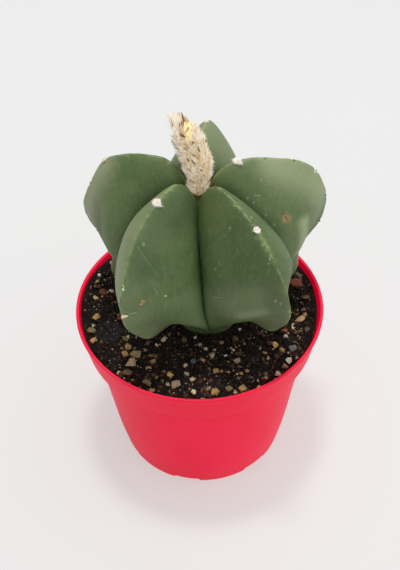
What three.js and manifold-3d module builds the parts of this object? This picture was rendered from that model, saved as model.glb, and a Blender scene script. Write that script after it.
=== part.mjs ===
// A bishop's cap cactus with five ribs, growing in a round plastic nursery pot.
// Millimetres, +Z up. The origin is the middle of the pot's foot, on the surface that it stands on.

import * as THREE from 'three';
import { mergeVertices } from 'three/addons/utils/BufferGeometryUtils.js';
import Module from 'manifold-3d';

const wasm = await Module();
wasm.setup();

const GAP = 0.3;

// The pot: heights from the foot, radii to the outside unless they say otherwise.
const POT_HEIGHT = 64.6;
const RIM_RADIUS = 42.5;
const RIM_INNER_RADIUS = 41.3;
const RIM_DEPTH = 1.3;
const COLLAR_TOP_RADIUS = 42.1;
const COLLAR_BOTTOM_RADIUS = 40.1;
const COLLAR_DEPTH = 12.2;
// The collar steps in to the wall over a sloping shoulder, which lies this much higher on the inside.
const SHOULDER_HEIGHT = 1.6;
const SHOULDER_RISE = 0.9;
const WALL_TOP_RADIUS = 37.3;
const BEND_RADIUS = 32.0;
const BEND_HEIGHT = 12;
const FOOT_RADIUS = 29.6;
const FOOT_RING = 1.5;
const FOOT_BEVEL = 0.6;
const WALL = 1.1;
const FLOOR_UNDERSIDE = 2.2;
const FLOOR_TOP = 3.4;
const NOTCH_COUNT = 7;
const NOTCH_FIRST = 257.8;
const NOTCH_WIDTH = 8.6;
const NOTCH_HEIGHT = 2.0;
const DRAIN_RADIUS = 3.0;
const DRAIN_CIRCLE = 20.5;
const DRAIN_SIDES = 16;
const POT_SIDES = 64;

// The potting mix: its surface lies a little under the rim, in clods and crumbs of these heights.
const SOIL_LEVEL = 59.6;
const CLOD_HEIGHT = 0.55;
const LUMP_HEIGHT = 0.38;
const CRUMB_HEIGHT = 0.22;
// It is banked against the wall all round, and heaped higher in two places, given as [azimuth, spread,
// height] in degrees and millimetres.
const BANK_HEIGHT = 0.7;
const HEAPS = [[162, 32, 3.6], [20, 20, 2.4]];
const SOIL_SIDES = 54;
const SOIL_RINGS = 9;
const STONE_COUNT = 95;
const STONE_SINK = 0.18;
const SMALL_STONE = [0.7, 0.9];
// Stones big enough to be told apart, as [x, y, half width].
const BIG_STONES = [
  [-21.8, -18.6, 2.0], [-23.4, -22.9, 2.3], [-24.7, -27.5, 1.6], [-26.1, -17.6, 1.4], [-18.5, -29.8, 2.1],
  [-27.3, -26.2, 1.1], [-10.5, -27.2, 1.3], [-10.6, -31.4, 1.2], [-7.5, -31.3, 1.8], [-2.8, -29.5, 1.2],
  [3.7, -19.5, 1.7], [12.0, -21.5, 1.5], [-2.5, -21.4, 1.1], [4.0, -35.1, 1.7], [13.1, -34.2, 1.5],
  [9.9, -35.4, 1.2], [29.2, -22.3, 1.4], [31.0, -17.3, 1.5], [25.1, -15.4, 1.3], [22.7, -21.0, 1.0],
  [34.4, -5.7, 1.7], [36.5, -9.2, 1.2], [34.0, 10.6, 2.2], [-35.9, -12.6, 1.5], [-35.7, -2.3, 1.3],
  [-36.9, -8.5, 1.5], [8.4, -19.0, 1.0],
];

// The plant: radius, height and shape at each level, from the crown's pit down to the root neck.
// A crest row is [radius, height, roundness of the edge].
const CREST = [
  [3.0, 111.8, 0.6],
  [5.2, 117.5, 1.5],
  [10.6, 121.7, 2.5],
  [18.6, 121.6, 3.2],
  [26.2, 119.3, 3.2],
  [33.3, 115.3, 3.2],
  [39.1, 108.8, 3.4],
  [42.3, 99.7, 3.2],
  [41.3, 91.1, 2.6],
  [37.8, 84.0, 2.0],
  [32.3, 77.0, 1.7],
  [24.2, 73.5, 1.7],
  [17.0, 69.4, 2.0],
  [12.0, 61.0, 2.0],
];
// A furrow row is [radius, height, swell of the flank beside the furrow].
const FURROW = [
  [2.4, 111.4, 0.3],
  [4.2, 112.7, 1.2],
  [6.9, 112.9, 2.8],
  [11.1, 110.8, 4.5],
  [16.1, 106.3, 6.5],
  [20.2, 100.2, 8.0],
  [22.5, 93.1, 9.0],
  [23.4, 86.1, 8.5],
  [23.2, 80.0, 6.0],
  [22.0, 74.5, 3.5],
  [19.7, 69.5, 2.0],
  [16.6, 65.6, 1.0],
  [13.6, 62.4, 0.5],
  [11.3, 61.0, 0.3],
];
// A keel row is [pinch of the flank behind the crest, arch of the underside].
const KEEL = [
  [0, 0], [0, 0], [0, 0], [0, 0], [0, 0], [0, 0], [0, 0],
  [1.0, 0], [5.0, 0.5], [9.0, 2.5], [10.0, 4.0], [7.0, 3.0], [2.0, 1.0], [0, 0],
];
const LEVELS = CREST.length - 1;
// How each rib departs from the common one, in millimetres, with the level where it does so and the
// levels that it spreads over. lean turns the crest (degrees), bulges push it out, shoulder raises it,
// chin drops it, foot carries its lower end out and down, and flanks widen its two sides or pinch them.
// pads are the levels of its woolly areoles, and scars those of its old bare ones.
const RIBS = [
  { azimuth: 162, lean: [0, 5.5, 2.5], reach: 0.985, lift: 2.0, shoulder: [1.2, 5], chin: 0,
    foot: [11.5, 8.3], bulges: [[-2.4, 6.0, 1.2], [0.7, 8.05, 0.95]],
    flanks: [[[-0.5, 8.5, 1.2]], [[-1.9, 8.6, 1.2]]],
    pads: [4.86], scars: [1.9, 3.4, 6.3, 7.5, 8.7] },
  { azimuth: 232, lean: [2.0, 5.5, 2.5], reach: 1.005, lift: 1.2, shoulder: [0, 5], chin: -3.5, foot: [0, 0],
    bulges: [[1.5, 8.3, 1.3], [-0.7, 6.1, 1.2]], flanks: [[[3.0, 4.2, 1.2]], []],
    pads: [3.09], scars: [1.7, 4.5, 5.6, 6.48, 7.43, 8.6] },
  { azimuth: 305.5, lean: [-1.45, 6.75, 1.8], reach: 1.005, lift: 0.3, shoulder: [-0.5, 5], chin: -0.5,
    foot: [0, 0], bulges: [[2.2, 7.0, 1.3], [-0.85, 6.05, 1.0]],
    flanks: [[], [[4.7, 5.3, 1.8], [-6.5, 6.95, 0.5]]],
    pads: [4.32], scars: [1.8, 3.12, 5.46, 6.4, 7.38, 8.5] },
  { azimuth: 17.5, lean: [0, 5.5, 2.5], reach: 0.995, lift: -0.6, shoulder: [2.4, 5.8], chin: 0,
    foot: [7.4, 8.3], bulges: [[0.5, 7.05, 1.2], [-2.2, 9.6, 0.9]],
    flanks: [[[-1.7, 7.75, 1.2]], [[-0.5, 8.5, 1.2]]],
    pads: [2.25], scars: [3.5, 4.8, 5.99, 7.1, 8.3] },
  { azimuth: 83.5, lean: [0, 5.5, 2.5], reach: 1.0, lift: 0.5, shoulder: [0, 5], chin: 0, foot: [0, 0],
    bulges: [], flanks: [[], []],
    pads: [4.33], scars: [1.9, 3.1, 5.5, 6.6, 7.7] },
];
// A rib has its full lift at this height over the soil, and its lift fades out within the pit.
const LIFT_HEIGHT = 60;
const LIFT_FADE = 2;
// The levels, with their spreads, where shoulders rise, chins drop, and feet reach out and down.
const SHOULDER_SPREAD = 1.3;
const CHIN_AT = [10, 2];
const FOOT_OUT_AT = [11.1, 0.95];
const FOOT_DOWN_AT = [11.35, 0.95];
// How much more the flank beside the furrow draws in where a rib is pinched than the one behind its crest.
const PINCH_SWELL = 1.5;
// Where the plant's middle stands, in steps from the crown down: x and y.
const SHIFT = [[0.6, 2.0], [0.2, 2.0], [1.6, 2.0], [3.6, 2.0], [2.8, 2.2]];
const STEM_RINGS = 38;
const FLANK_STEPS = 6;
const NECK_BOTTOM = 48;
const NECK_BOTTOM_RADIUS = 10.0;
const NECK_CLEAR = 15;
const PAD_SIZE = [1.5, 1.35, 0.75];
const SCAR_SIZE = [0.85, 0.75, 0.4];

// The withered flower: its axis from the crown's pit to the mouth, with the tube's radius there.
const TUBE = [
  [0.5, 2.5, 111.9, 1.6],
  [0.5, 2.9, 114.7, 2.7],
  [0.8, 3.6, 119.8, 4.1],
  [0.1, 4.2, 123.9, 4.5],
  [-1.0, 4.9, 128.5, 4.4],
  [-2.2, 5.4, 131.8, 4.1],
  [-3.3, 5.7, 134.0, 3.5],
];
const TUBE_SIDES = 18;
const TUBE_RINGS = 15;
// The mouth's socket: its depth as a share of the axis, and its radius.
const SOCKET_DEPTH = 0.16;
const SOCKET_RADIUS = 2.3;
const SCALE_ROWS = 9;
const SCALES_A_ROW = 7;
const SCALE_FIRST = 0.16;
const SCALE_SPAN = 0.68;
const SCALE_LENGTH = 0.11;
const SCALE_WIDTH = 1.0;
const SCALE_THICKNESS = 0.7;
// The withered petals, and the way they lean out of the mouth.
const PETAL_LEAN = [-0.62, 0.16, 0.77];
const PETAL_COUNT = 9;
const PETAL_LENGTH = 4.2;
const PETAL_WIDTH = 1.5;
const PETAL_THICKNESS = 0.8;
const PLUG_SIDES = 12;
// A blade's sections are [place along it, share of its width], and its corners [across, inwards].
const SCALE_BLADE = {
  sections: [[0, 1], [1, 0.3]],
  corners: [[1, 1], [-1, 1], [0, -1]],
};
const PETAL_BLADE = {
  sections: [[0, 0.7], [0.45, 1], [1, 0.22]],
  corners: [[1, 0], [0, 1], [-1, 0], [0, -1]],
};
const BLADE_TIP = 0.3;

// Seeded random numbers between 0 and 1.
function seeded(seed) {
  let state = seed;
  return () => {
    state = (state + 0x6d2b79f5) | 0;
    let mixed = Math.imul(state ^ (state >>> 15), 1 | state);
    mixed = (mixed + Math.imul(mixed ^ (mixed >>> 7), 61 | mixed)) ^ mixed;
    return ((mixed ^ (mixed >>> 14)) >>> 0) / 4294967296;
  };
}

// A smooth curve through rows of up to three numbers.
function smooth(rows) {
  const points = rows.map((row) => new THREE.Vector3(row[0], row[1], row[2] ?? 0));
  return new THREE.CatmullRomCurve3(points, false, 'catmullrom', 0.5);
}

// A hump of height 1 around a level.
function hump(level, middle, width) {
  return Math.exp(-(((level - middle) / width) ** 2));
}

// A closed body from rings of equally many points, each ring counterclockwise from above when the
// rings run from the top down. The first and last rings are closed by their middles.
function ringBody(rings) {
  const sides = rings[0].length;
  const points = rings.flat();
  const middle = (ring) => ring.reduce((sum, p) => sum.add(p), new THREE.Vector3()).divideScalar(sides);
  const first = points.push(middle(rings[0])) - 1;
  const last = points.push(middle(rings.at(-1))) - 1;
  const index = [];
  for (let side = 0; side < sides; side++) {
    const next = (side + 1) % sides;
    index.push(first, side, next);
    for (let ring = 0; ring < rings.length - 1; ring++) {
      const upper = ring * sides;
      const lower = upper + sides;
      index.push(upper + side, lower + side, lower + next);
      index.push(upper + side, lower + next, upper + next);
    }
    const base = (rings.length - 1) * sides;
    index.push(last, base + next, base + side);
  }
  const geometry = new THREE.BufferGeometry().setFromPoints(points);
  geometry.setIndex(index);
  return geometry;
}

// A level circle of points.
function circle(radius, height, sides) {
  return Array.from({ length: sides }, (_, side) => {
    const angle = (2 * Math.PI * side) / sides;
    return new THREE.Vector3(radius * Math.cos(angle), radius * Math.sin(angle), height);
  });
}

// A three.js geometry as a solid that can be joined and cut.
function solid(geometry) {
  const bare = geometry.clone();
  bare.deleteAttribute('normal');
  bare.deleteAttribute('uv');
  const merged = mergeVertices(bare, 1e-4);
  const corners = [];
  const index = merged.index.array;
  for (let i = 0; i < index.length; i += 3) {
    const [a, b, c] = [index[i], index[i + 1], index[i + 2]];
    if (a !== b && b !== c && c !== a) corners.push(a, b, c);
  }
  return new wasm.Manifold(new wasm.Mesh({
    numProp: 3,
    vertProperties: new Float32Array(merged.attributes.position.array),
    triVerts: new Uint32Array(corners),
  }));
}

// A solid back as a three.js geometry.
function geometryOf(body) {
  const mesh = body.getMesh();
  const geometry = new THREE.BufferGeometry();
  geometry.setAttribute('position', new THREE.BufferAttribute(mesh.vertProperties, 3));
  geometry.setIndex(new THREE.BufferAttribute(mesh.triVerts, 1));
  geometry.computeVertexNormals();
  return geometry;
}

// One body from several that overlap, with any hollow that they seal filled in.
function joined(first, others) {
  const pieces = others.reduce((body, other) => body.add(other), first).decompose();
  return pieces.reduce((largest, piece) => (piece.volume() > largest.volume() ? piece : largest));
}

function mesh(name, body, color, roughness) {
  const material = new THREE.MeshStandardMaterial({ color, roughness, metalness: 0 });
  const made = new THREE.Mesh(geometryOf(body), material);
  made.name = name;
  return made;
}

// The radius of the outside of the pot's wall at a height under the shoulder.
function wallRadius(height) {
  if (height < BEND_HEIGHT) return THREE.MathUtils.lerp(FOOT_RADIUS, BEND_RADIUS, height / BEND_HEIGHT);
  const top = POT_HEIGHT - COLLAR_DEPTH - SHOULDER_HEIGHT;
  return THREE.MathUtils.lerp(BEND_RADIUS, WALL_TOP_RADIUS, (height - BEND_HEIGHT) / (top - BEND_HEIGHT));
}

// The collar's inner radius at a height over the shoulder.
function collarInside(height) {
  const up = (height - POT_HEIGHT + COLLAR_DEPTH) / (COLLAR_DEPTH - RIM_DEPTH);
  return THREE.MathUtils.lerp(COLLAR_BOTTOM_RADIUS - WALL, RIM_INNER_RADIUS, Math.min(up, 1));
}

// The moulded pot: floor, foot ring with notches, wall, shoulder, collar and lip.
function pot() {
  const step = POT_HEIGHT - COLLAR_DEPTH;
  const lip = POT_HEIGHT - RIM_DEPTH;
  const profile = [
    [0, FLOOR_UNDERSIDE],
    [FOOT_RADIUS - FOOT_RING, FLOOR_UNDERSIDE],
    [FOOT_RADIUS - FOOT_RING, 0],
    [FOOT_RADIUS - FOOT_BEVEL, 0],
    [wallRadius(FOOT_BEVEL), FOOT_BEVEL],
    [BEND_RADIUS, BEND_HEIGHT],
    [WALL_TOP_RADIUS, step - SHOULDER_HEIGHT],
    [COLLAR_BOTTOM_RADIUS - 0.1, step],
    [COLLAR_BOTTOM_RADIUS + 0.1, step + 0.6],
    [COLLAR_TOP_RADIUS, lip],
    [RIM_RADIUS, lip + 0.4],
    [RIM_RADIUS, POT_HEIGHT - 0.4],
    [RIM_RADIUS - 0.3, POT_HEIGHT],
    [RIM_INNER_RADIUS + 0.4, POT_HEIGHT],
    [RIM_INNER_RADIUS, POT_HEIGHT - 0.5],
    [RIM_INNER_RADIUS, lip],
    [collarInside(step + SHOULDER_RISE), step + SHOULDER_RISE],
    [WALL_TOP_RADIUS - WALL, step - SHOULDER_HEIGHT + SHOULDER_RISE],
    [BEND_RADIUS - WALL, BEND_HEIGHT],
    [wallRadius(FLOOR_TOP) - WALL, FLOOR_TOP],
    [0, FLOOR_TOP],
  ].map(([radius, height]) => new THREE.Vector2(radius, height));
  const turned = new THREE.LatheGeometry(profile, POT_SIDES).rotateX(Math.PI / 2);
  let body = solid(turned).subtract(solid(drainHole()));
  for (let i = 0; i < NOTCH_COUNT; i++) {
    const azimuth = THREE.MathUtils.degToRad(NOTCH_FIRST + (i * 360) / NOTCH_COUNT);
    const notch = new THREE.BoxGeometry(4 * FOOT_RING, NOTCH_WIDTH, 2 * NOTCH_HEIGHT);
    notch.translate(FOOT_RADIUS, 0, 0).rotateZ(azimuth);
    const hole = drainHole().translate(DRAIN_CIRCLE, 0, 0).rotateZ(azimuth);
    body = body.subtract(solid(notch)).subtract(solid(hole));
  }
  return mesh('pot', body, 0xe83550, 0.42);
}

// A cylinder that cuts a drain hole in the middle of the pot's floor.
function drainHole() {
  const thick = FLOOR_TOP - FLOOR_UNDERSIDE;
  const cutter = new THREE.CylinderGeometry(DRAIN_RADIUS, DRAIN_RADIUS, 4 * thick, DRAIN_SIDES);
  return cutter.rotateX(Math.PI / 2).translate(0, 0, FLOOR_UNDERSIDE + thick / 2);
}

// How far the soil's surface stands above its level, in crossed waves of three sizes.
function clods(x, y) {
  const broad = CLOD_HEIGHT * Math.sin(0.17 * x + 0.6) * Math.cos(0.21 * y - 0.4);
  const lumps = LUMP_HEIGHT * Math.sin(0.71 * x + 0.33 * y) * Math.sin(0.29 * x - 0.83 * y + 1.1);
  return broad + lumps + CRUMB_HEIGHT * Math.sin(1.9 * x + 0.7) * Math.sin(1.7 * y + 2.0);
}

// How far the soil's surface is banked up at a point.
function bank(x, y) {
  const angle = THREE.MathUtils.radToDeg(Math.atan2(y, x));
  let highest = BANK_HEIGHT;
  for (const [azimuth, spread, height] of HEAPS) {
    const apart = THREE.MathUtils.euclideanModulo(angle - azimuth + 180, 360) - 180;
    highest += height * hump(apart, 0, spread);
  }
  return highest * (Math.hypot(x, y) / collarInside(SOIL_LEVEL)) ** 4;
}

// One stone of grit: a blunt irregular lump, with fewer faces where it is small.
function stone(x, y, size, random) {
  const lump = size > 1.15 ? new THREE.IcosahedronGeometry(1, 0) : new THREE.OctahedronGeometry(1.15, 0);
  const spin = new THREE.Euler(6.3 * random(), 6.3 * random(), 6.3 * random());
  lump.applyMatrix4(new THREE.Matrix4().makeRotationFromEuler(spin));
  const squash = 0.62 + 0.2 * random();
  lump.scale(size * (0.85 + 0.4 * random()), size * (0.75 + 0.3 * random()), size * squash);
  lump.rotateZ(6.3 * random());
  return lump.translate(x, y, SOIL_LEVEL + bank(x, y) + clods(x, y) + STONE_SINK * size);
}

// The potting mix: uneven on top, with grit in it, and a plain hole for the root neck.
function soil() {
  const random = seeded(11);
  const [neckX, neckY] = SHIFT.at(-1);
  const neckRadius = CREST.at(-1)[0];
  const edge = collarInside(SOIL_LEVEL) - GAP;
  const rings = [];
  const holeRing = (radius, height) => circle(radius, height, SOIL_SIDES).map((p) => {
    return p.add(new THREE.Vector3(neckX, neckY, 0));
  });
  rings.push(holeRing(NECK_BOTTOM_RADIUS + GAP, NECK_BOTTOM - GAP));
  for (let i = 0; i <= SOIL_RINGS; i++) {
    const out = i / SOIL_RINGS;
    rings.push(holeRing(neckRadius + 2 * GAP, 0).map((p, side) => {
      const far = circle(edge, 0, SOIL_SIDES)[side];
      const x = THREE.MathUtils.lerp(p.x, far.x, out);
      const y = THREE.MathUtils.lerp(p.y, far.y, out);
      const wave = i === 0 || i === SOIL_RINGS ? 0.4 : 1;
      const height = SOIL_LEVEL + bank(x, y) + wave * clods(x, y);
      const widen = i === SOIL_RINGS ? (collarInside(height) - GAP) / edge : 1;
      return new THREE.Vector3(widen * x, widen * y, height);
    }));
  }
  const step = POT_HEIGHT - COLLAR_DEPTH;
  for (const [radius, height] of [
    [collarInside(step + SHOULDER_RISE), step + SHOULDER_RISE + 1.5 * GAP],
    [WALL_TOP_RADIUS - WALL, step - SHOULDER_HEIGHT + SHOULDER_RISE + GAP],
    [BEND_RADIUS - WALL, BEND_HEIGHT],
    [wallRadius(FLOOR_TOP) - WALL, FLOOR_TOP + GAP],
  ]) {
    rings.push(circle(radius - GAP, height, SOIL_SIDES));
  }
  const stones = [...BIG_STONES];
  const clearOf = (x, y, size) => Math.hypot(x - neckX, y - neckY) > NECK_CLEAR
    && stones.every(([a, b, other]) => Math.hypot(x - a, y - b) > 0.9 * (size + other));
  const [least, spread] = SMALL_STONE;
  while (stones.length < STONE_COUNT) {
    const size = least + spread * random() ** 2;
    const radius = (edge - 1.5 * size) * Math.sqrt(random());
    const angle = 2 * Math.PI * random();
    const [x, y] = [radius * Math.cos(angle), radius * Math.sin(angle)];
    if (clearOf(x, y, size)) stones.push([x, y, size]);
  }
  const grit = stones.map(([x, y, size]) => solid(stone(x, y, size, random)));
  const body = joined(solid(ringBody(rings)), grit);
  return mesh('soil', body, 0x2b211b, 0.95);
}

const crestCurve = smooth(CREST);
const furrowCurve = smooth(FURROW);
const keelCurve = smooth(KEEL);
const shiftCurve = smooth(SHIFT);

// The azimuth of a rib's crest at a level, in radians.
function crestAzimuth(rib, level) {
  const [size, at, spread] = rib.lean;
  return THREE.MathUtils.degToRad(rib.azimuth + size * hump(level, at, spread));
}

// How far a rib's lift raises a point at a height.
function raised(height, lift, level) {
  return lift * Math.max((height - SOIL_LEVEL) / LIFT_HEIGHT, 0) * Math.min(level / LIFT_FADE, 1);
}

// A point of the plant's skin: across runs from 0 in the furrow to 1 on the rib's crest, and side is
// -1 for the flank clockwise of the crest and 1 for the other.
function skin(ribNumber, side, across, t) {
  const level = t * LEVELS;
  const rib = RIBS[ribNumber];
  const neighbour = RIBS[(ribNumber + side + RIBS.length) % RIBS.length];
  const crest = crestCurve.getPoint(t);
  const furrow = furrowCurve.getPoint(t);
  const keel = keelCurve.getPoint(t);
  const shift = shiftCurve.getPoint(t);
  const azimuth = crestAzimuth(rib, level);
  const turn = 2 * Math.PI;
  const apart = (((side * (crestAzimuth(neighbour, level) - azimuth)) % turn) + turn) % turn;
  const half = apart / 2;
  let radius = crest.x * rib.reach + rib.foot[0] * hump(level, ...FOOT_OUT_AT);
  for (const [size, at, spread] of rib.bulges) radius += size * hump(level, at, spread);
  const shoulder = rib.shoulder[0] * hump(level, rib.shoulder[1], SHOULDER_SPREAD);
  const foot = rib.foot[1] * hump(level, ...FOOT_DOWN_AT);
  const height = crest.y + raised(crest.y, rib.lift, level) + shoulder - foot;
  const furrowRadius = (furrow.x * (rib.reach + neighbour.reach)) / 2;
  const furrowHeight = furrow.y + raised(furrow.y, (rib.lift + neighbour.lift) / 2, level);
  let full = 0;
  let swollenRadius = furrowRadius + furrow.z;
  for (const [size, at, spread] of rib.flanks[side < 0 ? 0 : 1]) {
    const wider = size * hump(level, at, spread);
    full += wider;
    swollenRadius += PINCH_SWELL * Math.min(wider, 0);
  }
  const outward = new THREE.Vector3(Math.cos(half), Math.sin(half), 0);
  const inFurrow = outward.clone().multiplyScalar(furrowRadius).setZ(furrowHeight);
  const swollen = outward.clone().multiplyScalar(swollenRadius).setZ(furrowHeight + 0.15 * keel.y);
  const behind = new THREE.Vector3(radius - keel.x, crest.z + full, height + keel.y);
  const onCrest = new THREE.Vector3(radius, 0, height + rib.chin * hump(level, ...CHIN_AT));
  const flank = new THREE.CubicBezierCurve3(inFurrow, swollen, behind, onCrest);
  const point = flank.getPoint(across);
  point.y *= side;
  point.applyAxisAngle(new THREE.Vector3(0, 0, 1), azimuth);
  return point.add(new THREE.Vector3(shift.x, shift.y, 0));
}

// An areole: a low round pad lying on the crest at a level of a rib.
function areole(ribNumber, level, [length, width, thickness]) {
  const here = skin(ribNumber, 1, 1, level / LEVELS);
  const along = skin(ribNumber, 1, 1, (level + 0.1) / LEVELS).sub(here).normalize();
  const aside = new THREE.Vector3(0, 0, 1).cross(along).normalize();
  const out = along.clone().cross(aside).normalize();
  const pad = (length > 1 ? new THREE.IcosahedronGeometry(1, 1) : new THREE.OctahedronGeometry(1.1))
    .scale(length, width, thickness);
  pad.applyMatrix4(new THREE.Matrix4().makeBasis(along, aside, out));
  return pad.translate(here.x, here.y, here.z);
}

// The plant's body with its areoles and root neck, which grew as one piece.
function stem() {
  const rings = [];
  for (let i = 0; i <= STEM_RINGS; i++) {
    const t = i / STEM_RINGS;
    const ring = [];
    RIBS.forEach((_, rib) => {
      for (let step = 0; step < FLANK_STEPS; step++) {
        ring.push(skin(rib, -1, step / FLANK_STEPS, t));
      }
      for (let step = FLANK_STEPS; step > 0; step--) {
        ring.push(skin(rib, 1, step / FLANK_STEPS, t));
      }
    });
    rings.push(ring);
  }
  const [x, y] = SHIFT.at(-1);
  const neck = rings.at(-1).map((p) => {
    const narrow = new THREE.Vector3(p.x - x, p.y - y, 0).setLength(NECK_BOTTOM_RADIUS);
    return new THREE.Vector3(x + narrow.x, y + narrow.y, NECK_BOTTOM);
  });
  rings.push(neck);
  const pads = RIBS.flatMap((rib, i) => [
    ...rib.pads.map((level) => solid(areole(i, level, PAD_SIZE))),
    ...rib.scars.map((level) => solid(areole(i, level, SCAR_SIZE))),
  ]);
  return mesh('cactus_stem', joined(solid(ringBody(rings)), pads), 0x5c7350, 0.55);
}

const tubeAxis = smooth(TUBE);
const tubeRadii = smooth(TUBE.map((row) => [row[3]]));

// The flower tube's middle, direction and sideways directions at t, from 0 in the crown to 1.
function tubeFrame(t) {
  const middle = tubeAxis.getPoint(t);
  const along = tubeAxis.getTangent(t);
  const right = new THREE.Vector3(0, 1, 0).cross(along).normalize();
  return { middle, along, right, back: along.clone().cross(right) };
}

function tubePoint(t, angle, radius) {
  const { middle, right, back } = tubeFrame(t);
  middle.addScaledVector(right, radius * Math.cos(angle));
  return middle.addScaledVector(back, radius * Math.sin(angle));
}

function tubeRing(t, radius) {
  return Array.from({ length: TUBE_SIDES }, (_, i) => tubePoint(t, (2 * Math.PI * i) / TUBE_SIDES, radius));
}

// A thin blade of a shape, from a root to a tip, with its width along across.
function blade({ sections, corners }, root, tip, across, width, thickness) {
  const along = tip.clone().sub(root);
  const inwards = along.clone().cross(across).normalize();
  const section = ([place, share]) => corners.map(([aside, deep]) => root.clone()
    .addScaledVector(along, place)
    .addScaledVector(across, (aside * width * share) / 2)
    .addScaledVector(inwards, (deep * Math.max(thickness * share, BLADE_TIP)) / 2));
  return ringBody(sections.toReversed().map(section));
}

// The dried tube: a spindle with a socket in its mouth, covered in rows of narrow pointed scales.
function flowerTube() {
  const random = seeded(5);
  const rings = [tubeRing(1 - SOCKET_DEPTH, SOCKET_RADIUS), tubeRing(1, SOCKET_RADIUS)];
  for (let i = TUBE_RINGS; i >= 0; i--) {
    const t = i / TUBE_RINGS;
    rings.push(tubeRing(t, tubeRadii.getPoint(t).x));
  }
  const scales = [];
  for (let row = 0; row < SCALE_ROWS; row++) {
    for (let i = 0; i < SCALES_A_ROW; i++) {
      const t = SCALE_FIRST + (SCALE_SPAN * row) / (SCALE_ROWS - 1) + 0.03 * (random() - 0.5);
      const angle = (2 * Math.PI * (i + 0.38 * row)) / SCALES_A_ROW + 0.2 * (random() - 0.5);
      const root = tubePoint(t, angle, tubeRadii.getPoint(t).x - 0.3 * SCALE_THICKNESS);
      const end = Math.min(t + SCALE_LENGTH, 1);
      const tip = tubePoint(end, angle + 0.06, tubeRadii.getPoint(end).x + 0.5 * SCALE_THICKNESS);
      const { along, middle } = tubeFrame(t);
      const across = along.clone().cross(root.clone().sub(middle)).normalize();
      scales.push(solid(blade(SCALE_BLADE, root, tip, across, SCALE_WIDTH, SCALE_THICKNESS)));
    }
  }
  return mesh('flower_tube', joined(solid(ringBody(rings)), scales), 0xc9bb9e, 0.9);
}

// The withered petals: a shrivelled plug in the tube's mouth, with twisted dry blades on it.
function flowerPetals() {
  const random = seeded(23);
  const foot = 1 - SOCKET_DEPTH;
  const { along } = tubeFrame(1);
  const start = tubeFrame(foot).middle.addScaledVector(along, GAP);
  const mouth = tubeFrame(1).middle;
  const lean = new THREE.Vector3(...PETAL_LEAN).normalize();
  // The plug's sections, from its foot up: middle, radius, and depth of the creases between petals.
  const sections = [
    [start, SOCKET_RADIUS - GAP, 0],
    [mouth.clone().addScaledVector(along, -0.2), SOCKET_RADIUS - GAP, 0],
    [mouth.clone().addScaledVector(lean, 1.2), 2.9, 0.35],
    [mouth.clone().addScaledVector(lean, 3.2), 2.4, 0.4],
    [mouth.clone().addScaledVector(lean, 5.4), 1.3, 0.25],
  ];
  const right = new THREE.Vector3(0, 1, 0).cross(along).normalize();
  const back = along.clone().cross(right);
  const rings = sections.map(([middle, radius, crease]) => Array.from({ length: PLUG_SIDES }, (_, i) => {
    const angle = (2 * Math.PI * i) / PLUG_SIDES;
    const wide = radius - (i % 2) * crease;
    return middle.clone().addScaledVector(right, wide * Math.cos(angle))
      .addScaledVector(back, wide * Math.sin(angle));
  }));
  const core = solid(ringBody(rings.toReversed()));
  const blades = [];
  for (let i = 0; i < PETAL_COUNT; i++) {
    const angle = (2 * Math.PI * i) / PETAL_COUNT + 0.5 * random();
    const side = right.clone().multiplyScalar(Math.cos(angle)).addScaledVector(back, Math.sin(angle));
    const root = mouth.clone().addScaledVector(lean, 1.2).addScaledVector(side, 1.4);
    const length = PETAL_LENGTH * (1 + 0.5 * random());
    const tip = root.clone().addScaledVector(lean, length).addScaledVector(side, 0.2 + 0.8 * random());
    const across = lean.clone().cross(side).normalize();
    const width = PETAL_WIDTH * (1 + 0.5 * random());
    blades.push(solid(blade(PETAL_BLADE, root, tip, across, width, PETAL_THICKNESS)));
  }
  return mesh('flower_petals', joined(core, blades), 0xb08a4a, 0.85);
}

const cactus = new THREE.Group();
cactus.add(pot(), soil(), stem(), flowerTube(), flowerPetals());

export default cactus;
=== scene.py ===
"""A five-ribbed bishop's cap cactus in its red nursery pot, dressed for close views. Metres, +Z up."""
import math
import random

import bmesh
import bpy
import numpy as np
from mathutils import Matrix, Vector, noise


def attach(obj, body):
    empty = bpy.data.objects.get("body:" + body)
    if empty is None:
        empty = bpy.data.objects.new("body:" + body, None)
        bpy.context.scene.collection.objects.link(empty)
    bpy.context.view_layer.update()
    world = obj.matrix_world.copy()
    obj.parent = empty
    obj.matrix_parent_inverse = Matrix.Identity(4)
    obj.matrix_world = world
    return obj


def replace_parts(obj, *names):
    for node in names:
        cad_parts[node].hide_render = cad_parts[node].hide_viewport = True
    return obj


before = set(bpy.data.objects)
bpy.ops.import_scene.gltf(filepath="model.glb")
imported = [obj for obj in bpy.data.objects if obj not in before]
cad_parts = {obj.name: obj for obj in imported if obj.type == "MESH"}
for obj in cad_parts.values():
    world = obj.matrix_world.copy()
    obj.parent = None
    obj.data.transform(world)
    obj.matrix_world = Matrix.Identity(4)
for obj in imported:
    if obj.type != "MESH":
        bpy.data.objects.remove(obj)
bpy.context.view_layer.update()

# The pot is one thin moulding of coral red polypropylene, satin from the mould: a narrow lip, a collar
# that steps in over a shoulder, a tapering wall and a foot ring with seven notches. Its floor has eight
# round drain holes.
MM = 0.001
POT_HEIGHT = 64.6
POT_STEP = 52.4
LIP_BOTTOM = 63.3
LIP_RADIUS = 42.5
LIP_INSIDE = 41.3
STEP_INSIDE = 39.0
SHOULDER_INSIDE = 39.19
SHOULDER = 1.6
SHOULDER_RISE = 0.9
FOOT_RADIUS = 29.6
BEND_RADIUS = 32.0
BEND_HEIGHT = 12.0
WALL_TOP_RADIUS = 37.3
WALL = 1.1
FOOT_INSIDE = 28.1
FLOOR_RADIUS = FOOT_RADIUS - WALL + 0.68
FLOOR_UNDERSIDE = 2.2
FLOOR_TOP = 3.4
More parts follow.
